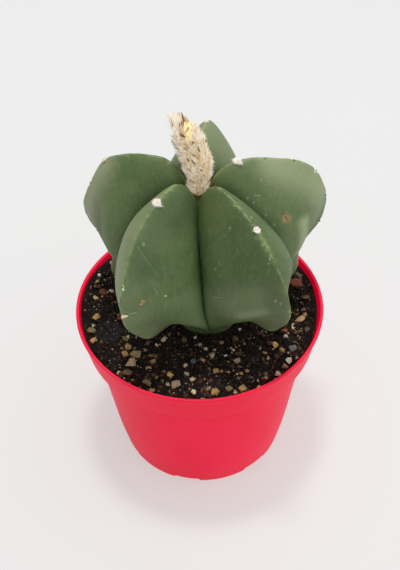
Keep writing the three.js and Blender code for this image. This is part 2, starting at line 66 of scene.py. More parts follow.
# A row of the pot's outline is [radius, height, fillet].
POT_OUTLINE = [
    [0.0, FLOOR_UNDERSIDE, 0.0],
    [FOOT_INSIDE, FLOOR_UNDERSIDE, 0.4],
    [FOOT_INSIDE, 0.0, 0.2],
    [FOOT_RADIUS - 0.6, 0.0, 0.2],
    [FOOT_RADIUS + 0.12, 0.6, 0.4],
    [BEND_RADIUS, BEND_HEIGHT, 5.0],
    [WALL_TOP_RADIUS, POT_STEP - SHOULDER, 0.8],
    [40.1, POT_STEP + 0.2, 0.35],
    [42.1, LIP_BOTTOM, 0.25],
    [LIP_RADIUS, LIP_BOTTOM + 0.4, 0.2],
    [LIP_RADIUS, POT_HEIGHT, 0.35],
    [41.6, POT_HEIGHT, 0.3],
    [LIP_INSIDE, POT_HEIGHT - 0.6, 0.3],
    [LIP_INSIDE, LIP_BOTTOM, 0.4],
    [SHOULDER_INSIDE, POT_STEP + SHOULDER_RISE, 0.4],
    [WALL_TOP_RADIUS - WALL, POT_STEP - SHOULDER + SHOULDER_RISE, 0.5],
    [BEND_RADIUS - WALL, BEND_HEIGHT, 5.0],
    [FLOOR_RADIUS, FLOOR_TOP, 0.9],
    [0.0, FLOOR_TOP, 0.0],
]
POT_SIDES = 288
NOTCH_COUNT = 7
NOTCH_FIRST = 257.8
NOTCH_HALF_ANGLE = 8.4
NOTCH_HEIGHT = 2.0
NOTCH_SLOPE = 1.4
# The notches are cut in what lies outside the first radius, and follow the taper outside the second.
NOTCH_INSIDE = 27.4
RING_MIDDLE = 28.8
DRAIN_RADIUS = 3.0
DRAIN_CIRCLE = 20.5
# The drill is turned a little, so that its corners miss the spokes of the floor's mesh.
DRILL_SIDES = 40
DRILL_TURN = 2.3
# The cone between the collar's inside and outside: its radius at the step, and how fast it widens.
COLLAR_MIDDLE = 39.5
COLLAR_TAPER = 0.2


class Signal:
    """An output of a material's node, which takes part in sums like a number."""

    def __init__(self, tree, socket):
        self.tree = tree
        self.socket = socket

    def node(self, kind, settings=None, values=None, output=0):
        """A new node: its settings are made first, then its sockets' values or links."""
        made = self.tree.nodes.new(kind)
        for name, setting in (settings or {}).items():
            if name == "stops":
                while len(made.color_ramp.elements) < len(setting):
                    made.color_ramp.elements.new(0.5)
                for element, (place, colour) in zip(made.color_ramp.elements, setting):
                    element.position = place
                    element.color = colour
            else:
                setattr(made, name, setting)
        for name, value in (values or {}).items():
            if isinstance(value, Signal):
                self.tree.links.new(value.socket, made.inputs[name])
            else:
                made.inputs[name].default_value = value
        return Signal(self.tree, made.outputs[output])

    def maths(self, operation, first, second):
        return self.node("ShaderNodeMath", {"operation": operation}, {0: first, 1: second})

    def vector(self, operation, other, output=0):
        """Vector arithmetic of this signal with another one or with a fixed vector."""
        return self.node("ShaderNodeVectorMath", {"operation": operation}, {0: self, 1: other}, output)

    def __add__(self, other):
        return self.maths("ADD", self, other)

    __radd__ = __add__

    def __sub__(self, other):
        return self.maths("SUBTRACT", self, other)

    def __rsub__(self, other):
        return self.maths("SUBTRACT", other, self)

    def __mul__(self, other):
        return self.maths("MULTIPLY", self, other)

    __rmul__ = __mul__


def paint(red, green, blue):
    """A colour as the eye sees it, 0 to 255, in the linear values that a shader takes."""
    return (*(((shade / 255 + 0.055) / 1.055) ** 2.4 for shade in (red, green, blue)), 1.0)


def finish_named(name, **constants):
    """A new material, its shader with the given constants, and the place of each point in metres."""
    material = bpy.data.materials.new(name)
    material.use_nodes = True
    tree = material.node_tree
    shader = tree.nodes["Principled BSDF"]
    for socket, value in constants.items():
        shader.inputs[socket.replace("_", " ")].default_value = value
    coordinates = tree.nodes.new("ShaderNodeTexCoord")
    return material, shader, Signal(tree, coordinates.outputs["Object"])


def wear(shader, socket, signal):
    """Leads a signal into one of the shader's sockets."""
    signal.tree.links.new(signal.socket, shader.inputs[socket])


def mottle(place, grain, detail=3.0, rough=0.55):
    """Cloudy noise around 0.5, with patches about a grain across in millimetres."""
    settings = {"Vector": place, "Scale": 1 / (grain * MM), "Detail": detail, "Roughness": rough}
    return place.node("ShaderNodeTexNoise", {}, settings)


def rise(signal, low, high):
    """0 where the signal is below low, 1 above high, and smooth between. Low may be the larger."""
    ends = {0: signal, 1: min(low, high), 2: max(low, high), 3: float(low > high), 4: float(low <= high)}
    return signal.node("ShaderNodeMapRange", {"interpolation_type": "SMOOTHSTEP"}, ends)


def mixed(amount, colour, other):
    """Colour where the amount is 0, the other one where it is 1."""
    return amount.node("ShaderNodeMix", {"data_type": "RGBA"}, {0: amount, 6: colour, 7: other}, 2)


def bumps(shader, height, depth, strength=1.0):
    """Low relief from a height signal of 0 to 1 that stands for a depth in millimetres."""
    values = {"Strength": strength, "Distance": depth * MM, "Height": height}
    wear(shader, "Normal", height.node("ShaderNodeBump", {}, values))


def piece(name, places, faces, material, slot, smooth=True):
    """A mesh object from points in millimetres, riding on the one body."""
    mesh = bpy.data.meshes.new(name)
    faces = faces if isinstance(faces, list) else faces.tolist()
    mesh.from_pydata((np.asarray(places) * MM).tolist(), [], faces)
    mesh.materials.append(material)
    mesh.polygons.foreach_set("use_smooth", [smooth] * len(mesh.polygons))
    made = bpy.data.objects.new(name, mesh)
    bpy.context.scene.collection.objects.link(made)
    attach(made, "root")
    return made


def rounded(outline, longest=2.4, steps=5):
    """The points of an outline with its corners rounded and its long sides divided."""
    rows = [(Vector(row[:2]), row[2]) for row in outline]
    points = [rows[0][0]]
    for (before, _), (corner, fillet), (after, _) in zip(rows, rows[1:], rows[2:]):
        start = corner + (before - corner).normalized() * fillet
        end = corner + (after - corner).normalized() * fillet
        for step in range(steps + 1):
            u = step / steps
            points.append((1 - u) ** 2 * start + 2 * u * (1 - u) * corner + u * u * end)
    points.append(rows[-1][0])
    divided = [points[0]]
    for point in points[1:]:
        parts = math.ceil((point - divided[-1]).length / longest)
        last = divided[-1]
        divided += [last.lerp(point, (part + 1) / parts) for part in range(parts)]
    return np.array([point[:] for point in divided])


def turned(outline, sides):
    """Points and faces of an outline of [radius, height] turned about Z, from axis to axis."""
    inner = outline[1:-1]
    angles = 2 * np.pi * np.arange(sides) / sides
    radius, height = inner[:, 0][:, None], inner[:, 1][:, None]
    rings = np.stack([radius * np.cos(angles), radius * np.sin(angles), height + 0 * angles], -1)
    places = np.vstack([rings.reshape(-1, 3), [[0, 0, outline[0][1]], [0, 0, outline[-1][1]]]])
    first, last = len(places) - 2, len(places) - 1
    base = (len(inner) - 1) * sides
    faces = []
    for side in range(sides):
        after = (side + 1) % sides
        faces.append([first, after, side])
        for low in range(0, base, sides):
            faces.append([low + side, low + after, low + sides + after, low + sides + side])
        faces.append([last, base + side, base + after])
    return places, faces


def cut_notches(places):
    """Raises the foot ring's underside at the notches, along the taper of the wall."""
    azimuth = np.degrees(np.arctan2(places[:, 1], places[:, 0]))
    apart = (azimuth - NOTCH_FIRST + 180 / NOTCH_COUNT) % (360 / NOTCH_COUNT) - 180 / NOTCH_COUNT
    share = np.clip((NOTCH_HALF_ANGLE + NOTCH_SLOPE - abs(apart)) / NOTCH_SLOPE, 0, 1)
    radius = np.hypot(places[:, 0], places[:, 1])
    lowest = np.where(radius > NOTCH_INSIDE, NOTCH_HEIGHT * share, 0)
    raised = np.maximum(places[:, 2], lowest)
    taper = (BEND_RADIUS - FOOT_RADIUS) / BEND_HEIGHT
    outer = radius + np.where(radius > RING_MIDDLE, taper * (raised - places[:, 2]), 0)
    places[:, :2] *= (outer / np.maximum(radius, 1e-6))[:, None]
    places[:, 2] = raised
    return places


def drilled(body, centres, radius, low, high):
    """Cuts upright round holes through the body, with sizes in millimetres."""
    cutter = bmesh.new()
    for x, y in centres:
        place = Matrix.Translation((x * MM, y * MM, (low + high) / 2 * MM))
        place = place @ Matrix.Rotation(math.radians(DRILL_TURN), 4, "Z")
        bmesh.ops.create_cone(cutter, cap_ends=True, segments=DRILL_SIDES, radius1=radius * MM,
                              radius2=radius * MM, depth=(high - low) * MM, matrix=place)
    cutter_mesh = bpy.data.meshes.new("drill")
    cutter.to_mesh(cutter_mesh)
    cutter.free()
    drill = bpy.data.objects.new("drill", cutter_mesh)
    bpy.context.scene.collection.objects.link(drill)
    cut = body.modifiers.new("holes", "BOOLEAN")
    cut.object = drill
    cut.operation = "DIFFERENCE"
    cut.solver = "EXACT"
    graph = bpy.context.evaluated_depsgraph_get()
    result = bpy.data.meshes.new_from_object(body.evaluated_get(graph))
    body.modifiers.clear()
    body.data = result
    bpy.data.objects.remove(drill)
    bpy.data.meshes.remove(cutter_mesh)


red_plastic, shader, place = finish_named("red_plastic", Roughness=0.45, Specular_IOR_Level=0.12,
                                          Emission_Strength=1.0)
cloud = mottle(place, 22.0, 2.0)
grain = mottle(place, 0.5, 4.0, 0.6)
height_up = place.node("ShaderNodeSeparateXYZ", {}, {0: place}, 2)
radius = place.vector("MULTIPLY", (1.0, 1.0, 0.0)).vector("DISTANCE", (0.0, 0.0, 0.0), 1)
dusty = rise(height_up, 12 * MM, 0.0) * rise(mottle(place, 3.0, 4.0), 0.45, 0.7)
scuffs = rise(mottle(place, 1.6, 6.0, 0.7), 0.63, 0.72)
coral = mixed(rise(cloud, 0.35, 0.65), paint(249, 18, 62), paint(254, 24, 70))
coral = mixed(scuffs * 0.15, coral, paint(252, 84, 110))
# Painted shade: the downward-facing step under the collar is painted a darker red, so that it does not stand
# out bright in the floor's light.
painted_step_shade = rise(height_up, (POT_STEP - 1.4) * MM, (POT_STEP - 0.4) * MM)
painted_step_shade = painted_step_shade * rise(height_up, (POT_STEP + 0.7) * MM, (POT_STEP + 0.1) * MM)
coral = mixed(painted_step_shade * 0.5, coral, paint(206, 10, 44))
# Painted light: the top of the lip is painted a paler, duller red, which evens out the stronger light it gets
# from above.
lip_top_painted_light = rise(height_up, (POT_HEIGHT - 0.5) * MM, (POT_HEIGHT - 0.1) * MM)
coral = mixed(lip_top_painted_light * 0.35, coral, paint(238, 66, 86))
wear(shader, "Base Color", mixed(dusty * 0.25, coral, paint(206, 96, 92)))
wear(shader, "Roughness", 0.4 + 0.1 * grain + 0.1 * scuffs + 0.15 * dusty)
bumps(shader, grain * 0.5 + cloud * 0.5, 0.05, 0.5)
# Light comes through the thin collar, so that its inside glows red.
middle = COLLAR_MIDDLE - COLLAR_TAPER * POT_STEP
inside = rise(radius - COLLAR_TAPER * height_up, (middle + 0.2) * MM, (middle - 0.2) * MM)
inside = inside * rise(height_up, (POT_STEP - 4) * MM, POT_STEP * MM)
wear(shader, "Emission Color", mixed(inside, (0.0, 0.0, 0.0, 1.0), (0.22, 0.0, 0.008, 1.0)))

places, faces = turned(rounded(POT_OUTLINE), POT_SIDES)
pot = piece("pot_moulding", cut_notches(places), faces, red_plastic, "red_plastic")
angles = [math.radians(NOTCH_FIRST + 360 * i / NOTCH_COUNT) for i in range(NOTCH_COUNT)]
drains = [(0.0, 0.0)] + [(DRAIN_CIRCLE * math.cos(a), DRAIN_CIRCLE * math.sin(a)) for a in angles]
drilled(pot, drains, DRAIN_RADIUS, FLOOR_UNDERSIDE - 1, FLOOR_TOP + 1)
pot.data.set_sharp_from_angle(angle=math.radians(40))
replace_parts(pot, "pot")

# The potting mix is dark peat, filled to a little under the lip and heaped against the wall in two
# places. It was left loose, so its surface is broken into crumbs. A hole in its middle holds the neck.
SOIL_LEVEL = 59.6
SOIL_SPOKES = 420
SOIL_RINGS = 112
BANK_HEIGHT = 0.7
# A heap's row is [azimuth, spread, height].
HEAPS = [[162, 32, 3.6], [20, 20, 2.4]]
NECK = (2.8, 2.2)
NECK_RADIUS = 12.6
NECK_FOOT_RADIUS = 10.3
NECK_FOOT = 47.7
GAP = 0.3
# The pot's inside under the soil's top, from which the soil stays clear by the gap: [radius, height].
LOWER_RINGS = [
    [SHOULDER_INSIDE, POT_STEP + SHOULDER_RISE + 1.5 * GAP],
    [WALL_TOP_RADIUS - WALL, POT_STEP - SHOULDER + SHOULDER_RISE + GAP],
    [BEND_RADIUS - WALL, BEND_HEIGHT],
    [FLOOR_RADIUS, FLOOR_TOP + GAP],
]
# Two wet patches of fine peat near the left edge, nearly black and with few stones: [x, y, radius].
WET_PATCHES = [[-31.5, -8.5, 4.6], [-28.8, -20.6, 2.0]]
WET_EDGE = 2.5


def collar_inside(height):
    """The collar's inner radius at a height over the shoulder."""
    share = np.minimum((height - POT_STEP) / (LIP_BOTTOM - POT_STEP), 1)
    return STEP_INSIDE + (LIP_INSIDE - STEP_INSIDE) * share


def clods(x, y):
    """How far the soil stands above its level, in crossed waves of three sizes."""
    broad = 0.55 * np.sin(0.17 * x + 0.6) * np.cos(0.21 * y - 0.4)
    lumps = 0.38 * np.sin(0.71 * x + 0.33 * y) * np.sin(0.29 * x - 0.83 * y + 1.1)
    return broad + lumps + 0.22 * np.sin(1.9 * x + 0.7) * np.sin(1.7 * y + 2.0)


def bank(x, y):
    """How far the mix is banked up against the wall, with its two heaps."""
    highest = BANK_HEIGHT
    for azimuth, spread, height in HEAPS:
        apart = (np.degrees(np.arctan2(y, x)) - azimuth + 180) % 360 - 180
        highest = highest + height * np.exp(-((apart / spread) ** 2))
    return highest * (np.hypot(x, y) / collar_inside(SOIL_LEVEL)) ** 4


def crumbs(x, y):
    """The loose crumbs on the clods."""
    coarse = noise.fractal(Vector((x * 0.55, y * 0.55, 3.7)), 0.9, 2.1, 3)
    fine = noise.fractal(Vector((x * 1.7, y * 1.7, 9.1)), 0.8, 2.2, 3)
    return 0.5 * coarse + 0.32 * abs(fine)


edge = collar_inside(SOIL_LEVEL) - GAP
angles = 2 * np.pi * np.arange(SOIL_SPOKES) / SOIL_SPOKES
circle = np.stack([np.cos(angles), np.sin(angles)], -1)
rings = [np.column_stack([NECK + NECK_FOOT_RADIUS * circle, np.full(SOIL_SPOKES, NECK_FOOT)])]
for out in np.linspace(0, 1, SOIL_RINGS):
    flat = (1 - out) * (NECK + NECK_RADIUS * circle) + out * edge * circle
    loose = min(1, 12 * out, 20 * (1 - out) + 0.4)
    relief = clods(flat[:, 0], flat[:, 1]) * (1 if 0 < out < 1 else 0.4)
    relief += bank(flat[:, 0], flat[:, 1]) + loose * np.array([crumbs(x, y) for x, y in flat])
    flat *= (1 + out ** 8 * ((collar_inside(SOIL_LEVEL + relief) - GAP) / edge - 1))[:, None]
    rings.append(np.column_stack([flat, SOIL_LEVEL + relief]))
for radius, height in LOWER_RINGS:
    rings.append(np.column_stack([(radius - GAP) * circle, np.full(SOIL_SPOKES, height)]))
places = np.vstack(rings + [[[*NECK, NECK_FOOT], [0, 0, FLOOR_TOP + GAP]]])


def ring_faces(rings):
    """Faces that join rings of equally many points, with the two closing middles after the rings."""
    rows, sides = len(rings), len(rings[0])
    last = (rows - 1) * sides
    spokes = [(side, (side + 1) % sides) for side in range(sides)]
    faces = [
        [low + side, low + sides + side, low + sides + after, low + after]
        for low in range(0, last, sides) for side, after in spokes
    ]
    faces += [[last + sides, side, after] for side, after in spokes]
    faces += [[last + sides + 1, last + after, last + side] for side, after in spokes]
    return faces


peat, shader, place = finish_named("peat", Roughness=0.92, Specular_IOR_Level=0.3)
fine = mottle(place, 0.35, 5.0, 0.7)
patches = mottle(place, 3.0, 4.0)
moist = rise(mottle(place, 9.0, 2.0), 0.48, 0.62)
stops = [
    (0.34, paint(5, 3, 3)),
    (0.5, paint(17, 11, 9)),
    (0.64, paint(62, 43, 33)),
    (0.76, paint(158, 130, 104)),
]
brown = place.node("ShaderNodeValToRGB", {"stops": stops}, {0: fine * 0.75 + patches * 0.25})
brown = mixed(moist * 0.55, brown, paint(12, 10, 11))
wet = 0
for x, y, reach in WET_PATCHES:
    away = place.vector("DISTANCE", (x * MM, y * MM, SOIL_LEVEL * MM), 1)
    wet = wet + rise(away + 3 * MM * patches, (reach + WET_EDGE) * MM, reach * MM)
wear(shader, "Base Color", mixed(wet * 0.6, brown, paint(10, 9, 12)))
wear(shader, "Roughness", 0.95 - 0.25 * moist - 0.3 * wet)
bumps(shader, fine * 0.6 + mottle(place, 0.15, 3.0) * 0.4, 0.35)

soil = piece("potting_mix", places, ring_faces(rings), peat, "potting_mix")
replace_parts(soil, "soil")

# Grit lies in the peat and on it: crushed stone from sand grains to 6 mm, mostly tan, olive and cream,
# with crumbs of peat, flakes of bark and root fibres. Only its own weight holds it.
CREAM = paint(222, 203, 170)
PINKISH = paint(226, 196, 176)
WHITE = paint(232, 228, 220)
TAN = paint(196, 158, 112)
PALE_TAN = paint(208, 184, 146)
YELLOW_TAN = paint(214, 178, 112)
OLIVE = paint(152, 136, 96)
GREY_BROWN = paint(128, 104, 82)
BLUE_GREY = paint(104, 112, 114)
RUST = paint(140, 78, 52)
# The stones that can be told apart: [x, y, half width, colour].
BIG_STONES = [
    [-25.5, -18.9, 1.4, TAN], [-21.6, -19.0, 1.8, OLIVE], [-23.2, -23.5, 2.0, PALE_TAN],
    [-24.5, -15.0, 1.3, TAN], [-24.3, -27.9, 1.6, GREY_BROWN], [-17.3, -24.9, 1.0, TAN],
    [-17.9, -31.4, 1.6, OLIVE], [-10.4, -28.0, 1.2, YELLOW_TAN], [-10.5, -31.7, 1.1, CREAM],
    [-8.2, -32.2, 1.8, CREAM], [-35.4, -3.0, 1.3, YELLOW_TAN], [-35.9, -12.9, 1.5, YELLOW_TAN],
    [-36.9, -8.5, 1.5, OLIVE], [-14.8, -14.9, 0.7, CREAM], [-18.7, -17.2, 0.9, TAN],
    [-27.0, -27.6, 1.0, CREAM], [3.5, -19.9, 1.6, PALE_TAN], [12.0, -22.3, 1.3, PALE_TAN],
    [-2.3, -22.3, 1.1, BLUE_GREY], [-2.8, -30.3, 1.1, CREAM], [4.2, -35.7, 1.5, YELLOW_TAN],
    [13.3, -34.4, 1.4, YELLOW_TAN], [10.8, -36.3, 1.1, PALE_TAN], [14.9, -27.5, 0.9, TAN],
    [24.9, -16.3, 1.4, YELLOW_TAN], [27.2, -18.7, 1.0, YELLOW_TAN], [30.8, -18.2, 1.4, BLUE_GREY],
    [29.0, -23.5, 1.3, WHITE], [21.5, -19.4, 0.9, TAN], [19.9, -17.9, 0.8, TAN],
    [22.3, -21.7, 0.7, CREAM], [27.7, -25.9, 1.2, TAN], [25.1, -28.8, 1.1, PINKISH],
    [17.0, -32.6, 1.0, GREY_BROWN], [7.3, -13.9, 0.9, TAN], [10.9, -17.6, 0.7, PINKISH],
    [-0.2, -14.8, 0.8, CREAM], [8.2, -19.8, 0.6, WHITE], [11.8, -28.5, 0.5, PINKISH],
    [1.8, -17.0, 0.8, CREAM], [4.7, -17.3, 0.6, CREAM], [-1.7, -11.5, 0.8, WHITE],
    [29.0, -12.8, 0.8, WHITE], [-4.8, -27.7, 0.9, CREAM], [-14.2, -28.6, 1.0, OLIVE],
    [-16.1, -34.4, 1.0, TAN], [34.4, -5.7, 1.7, TAN], [36.5, -9.2, 1.2, GREY_BROWN],
    [34.0, 10.6, 2.2, RUST], [-36.0, 13.1, 0.9, YELLOW_TAN], [-35.4, 16.6, 0.8, WHITE],
    [-36.2, 5.2, 1.2, TAN], [13.5, -8.4, 0.6, WHITE], [-33.6, 8.4, 1.3, RUST],
]
GRIT_COLOURS = [
    TAN, OLIVE, OLIVE, YELLOW_TAN, GREY_BROWN, GREY_BROWN, CREAM, CREAM, PALE_TAN, PALE_TAN, RUST,
]
MEDIUM_COUNT = 100
# Where smaller stones have gathered: [x, y, spread, count].
CLUSTERS = [
    [-22, -22, 6, 34], [-33, -10, 5, 16], [-34, 12, 5, 12], [33, -6, 5, 18], [20, -27, 7, 22],
    [6, -34, 6, 18],
]
# How far stones lie from the neck's middle, and the half width up to which they lie in the wet patches.
NECK_CLEARANCE = 15.0
FINEST = 0.3
SMALL_COUNT = 620
SAND_COUNT = 1700
CRUMB_COUNT = 4200


def mesh_lists(body):
    """The points and faces of a bmesh."""
    points = np.array([vertex.co[:] for vertex in body.verts])
    return points, [[vertex.index for vertex in face.verts] for face in body.faces]


def chips(count, corners, blunt, draw):
    """Angular lumps of about unit half width, each as points and triangles."""
    made = []
    for _ in range(count):
        body = bmesh.new()
        for _ in range(corners):
            way = Vector((draw.gauss(0, 1), draw.gauss(0, 1), draw.gauss(0, 1))).normalized()
            body.verts.new(way * draw.uniform(0.85, 1.05))
        hull = bmesh.ops.convex_hull(body, input=body.verts)
        inside = {item for item in hull["geom_interior"] if isinstance(item, bmesh.types.BMVert)}
        bmesh.ops.delete(body, geom=list(inside), context="VERTS")
        if blunt:
            bmesh.ops.bevel(body, geom=body.edges[:], offset=blunt, segments=2, profile=0.6, affect="EDGES")
        bmesh.ops.triangulate(body, faces=body.faces[:])
        bmesh.ops.recalc_face_normals(body, faces=body.faces[:])
        body.verts.index_update()
        made.append(mesh_lists(body))
        body.free()
    return made


def ground(x, y):
    """The height of the soil under its loose crumbs."""
    return SOIL_LEVEL + float(bank(x, y) + clods(x, y))


def surface(x, y):
    """The height of the soil's surface."""
    return ground(x, y) + crumbs(x, y)


def gathered(parts):
    """The points and the faces of many parts as one array and one list. A part starts with its own two."""
    places, faces, count = [], [], 0
    for points, shape, *_ in parts:
        places.append(points)
        faces += [[corner + count for corner in face] for face in shape]
        count += len(points)
    return np.vstack(places), faces


def with_tints(made, tints):
    """Keeps a colour on each point of a piece."""
    kept = made.data.attributes.new("tint", "FLOAT_COLOR", "POINT")
    kept.data.foreach_set("color", np.asarray(tints, float).ravel())
    return made


def tinted(name, parts, material, slot, smooth=True):
    """One piece from parts of (points, faces, tint), a tint being one colour or one for each point."""
    made = piece(name, *gathered(parts), material, slot, smooth)
    return with_tints(made, np.vstack([np.broadcast_to(tint, (len(points), 4)) for points, _, tint in parts]))


def told(place, name, output=0):
    """What is kept on the mesh under a name: a colour, or a number from output 2."""
    return place.node("ShaderNodeAttribute", {"attribute_name": name}, output=output)


def scattered(name, shapes, rows, material, draw):
    """One piece of many lumps. A row is [place, half sizes, colour]; each lump is spun at random."""
    parts = []
    for place, sizes, colour in rows:
        points, triangles = shapes[draw.randrange(len(shapes))]
        spin = Matrix.Rotation(draw.uniform(0, 6.283), 3, Vector((draw.gauss(0, 1), draw.gauss(0, 1), 1)))
        turn = Matrix.Rotation(draw.uniform(0, 6.283), 3, "Z")
        spun = (points @ np.array(spin).T) * sizes @ np.array(turn).T
        shade = draw.uniform(0.65, 1.2)
        parts.append((spun + place, triangles, [*(shade * np.array(colour[:3])), 1.0]))
    return tinted(name, parts, material, "potting_mix", smooth=False)


def in_wet(x, y):
    """Whether a spot lies in a wet patch."""
    return any(math.hypot(x - patch[0], y - patch[1]) < patch[2] for patch in WET_PATCHES)


def from_neck(x, y):
    """How far a spot lies from the neck's middle."""
    return math.hypot(x - NECK[0], y - NECK[1])


def strewn(count, least, spread, power, draw, clear=NECK_CLEARANCE):
    """Random spots on the soil outside the root neck, each with a half width: x, y, size."""
    spots = []
    while len(spots) < count:
        size = least + spread * draw.random() ** power
        radius = (edge - 1.2 * size) * math.sqrt(draw.random())
        angle = draw.uniform(0, 2 * math.pi)
        x, y = radius * math.cos(angle), radius * math.sin(angle)
        if from_neck(x, y) > clear and not (size > FINEST and in_wet(x, y)):
            spots.append((x, y, size))
    return spots


grit, shader, place = finish_named("grit_stone", Roughness=0.78, Specular_IOR_Level=0.35)
veins = mottle(place, 0.8, 5.0, 0.65)
dust = rise(mottle(place, 1.7, 4.0), 0.5, 0.68)
stone = mixed(rise(veins, 0.62, 0.36) * 0.4, told(place, "tint"), paint(70, 56, 44))
wear(shader, "Base Color", mixed(dust * 0.3, stone, paint(38, 29, 24)))
bumps(shader, veins * 0.6 + mottle(place, 0.25, 3.0) * 0.4, 0.18)

draw = random.Random(11)
blunt_chips = chips(14, 12, 0.05, draw)
sharp_chips = chips(12, 12, 0.0, draw)
rows = []
for x, y, size, colour in BIG_STONES:
    sizes = size * np.array([draw.uniform(1.2, 1.45), draw.uniform(0.95, 1.15), draw.uniform(0.65, 0.9)])
    inward = min(1, (edge - 1.35 * size) / math.hypot(x, y))
    x, y = inward * x, inward * y
    rows.append(((x, y, ground(x, y) + 0.5 * size), sizes, colour))
spots = strewn(MEDIUM_COUNT, 0.4, 1.0, 2.2, draw)
for middle_x, middle_y, spread_mm, stone_count in CLUSTERS:
    for _ in range(stone_count):
        x, y = draw.gauss(middle_x, spread_mm), draw.gauss(middle_y, spread_mm)
        size = 0.5 + 0.9 * draw.random() ** 1.4
        in_pot = math.hypot(x, y) < edge - 1.3 * size
        if in_pot and from_neck(x, y) > NECK_CLEARANCE and not in_wet(x, y):
            spots.append((x, y, size))
for x, y, size in spots:
    near = min(math.hypot(x - row[0], y - row[1]) - row[2] for row in BIG_STONES)
    if near > 0.8 * size:
        sizes = size * np.array([1.15, draw.uniform(0.65, 0.95), draw.uniform(0.5, 0.8)])
        rows.append(((x, y, surface(x, y) + 0.3 * size), sizes, draw.choice(GRIT_COLOURS)))
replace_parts(scattered("grit_stones", blunt_chips, rows, grit, draw), "soil")

rows = []
for x, y, size in strewn(SMALL_COUNT, 0.18, 0.32, 1.5, draw) + strewn(SAND_COUNT, 0.06, 0.1, 1.0, draw):
    sizes = size * np.array([1.15, draw.uniform(0.7, 1.0), draw.uniform(0.55, 0.85)])
    colour = draw.choice(GRIT_COLOURS + [WHITE, CREAM, CREAM] if size < FINEST else GRIT_COLOURS)
    rows.append(((x, y, surface(x, y) + 0.35 * size), sizes, colour))
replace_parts(scattered("fine_grit", sharp_chips, rows, grit, draw), "soil")

# Crumbs of peat lie loose all over the mix, up to the neck, and two on the front of the lip: [azimuth,
# half width]. They are the same damp peat as the soil, dark brown to black.
CRUMB_COLOURS = [paint(18, 12, 10), paint(10, 7, 7), paint(44, 29, 23), paint(88, 62, 48), paint(14, 12, 12)]
CRUMB_CLEARANCE = 13.2
LIP_CRUMBS = [[270.4, 0.3], [274.4, 0.25]]
LIP_MIDDLE = 41.9
crumb_peat, shader, place = finish_named("peat_crumb", Roughness=0.95, Specular_IOR_Level=0.25)
fine = mottle(place, 0.3, 4.0, 0.7)
wear(shader, "Base Color", mixed(rise(fine, 0.4, 0.7) * 0.4, told(place, "tint"), paint(84, 64, 48)))
bumps(shader, fine, 0.25)
rows = []
for x, y, size in strewn(CRUMB_COUNT, 0.22, 0.95, 2.4, draw, CRUMB_CLEARANCE):
    sizes = size * np.array([draw.uniform(0.9, 1.5), draw.uniform(0.6, 1.0), draw.uniform(0.5, 0.9)])
    rows.append(((x, y, surface(x, y) + 0.2 * size), sizes, draw.choice(CRUMB_COLOURS)))
for azimuth, size in LIP_CRUMBS:
    turn = math.radians(azimuth)
    spot = (LIP_MIDDLE * math.cos(turn), LIP_MIDDLE * math.sin(turn), POT_HEIGHT + 0.1)
    rows.append((spot, size * np.array([1.2, 0.8, 0.6]), CRUMB_COLOURS[0]))
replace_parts(scattered("peat_crumbs", sharp_chips, rows, crumb_peat, draw), "soil")


def strand(points, width, sides=5):
    """A thin tapering tube along a line of points: its points and faces."""
    line = np.array(points)
    along = np.gradient(line, axis=0)
    along /= np.linalg.norm(along, axis=1)[:, None]
    aside = np.cross(along, [0.3, 0.2, 1.0])
    aside /= np.linalg.norm(aside, axis=1)[:, None]
    over = np.cross(along, aside)
    angles = 2 * np.pi * np.arange(sides) / sides
    radius = 0.5 * width * np.sin(np.linspace(0.35, np.pi - 0.35, len(line))) ** 0.5
    rings = [
        middle + r * (np.cos(angles)[:, None] * u + np.sin(angles)[:, None] * v)
        for middle, r, u, v in zip(line, radius, aside, over)
    ]
    return np.vstack(rings + [line[:1], line[-1:]]), ring_faces(rings)


# Flakes of composted bark lie near the pot's edge, the largest at the right, flat and only by their own
# weight: [x, y, half length, half width, heading, colour].
BARK_FLAKES = [
    [33.4, -2.4, 2.1, 0.6, 62, paint(196, 106, 54)], [35.4, 14.6, 2.8, 0.9, 118, paint(142, 122, 104)],
    [37.4, 3.6, 1.5, 1.0, 20, GREY_BROWN], [-33.0, 9.5, 1.7, 0.7, 80, paint(112, 84, 62)],
    [-12.0, 33.0, 2.0, 0.8, 10, paint(98, 74, 56)], [20.6, -29.6, 1.4, 0.5, 150, paint(82, 56, 40)],
    [8.8, 32.5, 1.6, 0.7, 70, RUST],
]
bark, shader, place = finish_named("bark", Roughness=0.85)
cork = mottle(place, 0.6, 5.0, 0.7)
wear(shader, "Base Color", mixed(rise(cork, 0.62, 0.38) * 0.55, told(place, "tint"), paint(52, 36, 26)))
bumps(shader, cork, 0.25)
parts = []
flake_chips = chips(len(BARK_FLAKES), 14, 0.0, draw)
for (x, y, long, wide, heading, colour), (points, triangles) in zip(BARK_FLAKES, flake_chips):
    turn = Matrix.Rotation(math.radians(heading), 3, "Z")
    tip = Matrix.Rotation(draw.uniform(-0.25, 0.25), 3, "X")
    laid = points * (long, wide, 0.45 * wide) @ np.array(tip).T @ np.array(turn).T
    parts.append((laid + (x, y, surface(x, y) + 0.35 * wide), triangles, colour))
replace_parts(tinted("bark_flakes", parts, bark, "potting_mix", smooth=False), "soil")

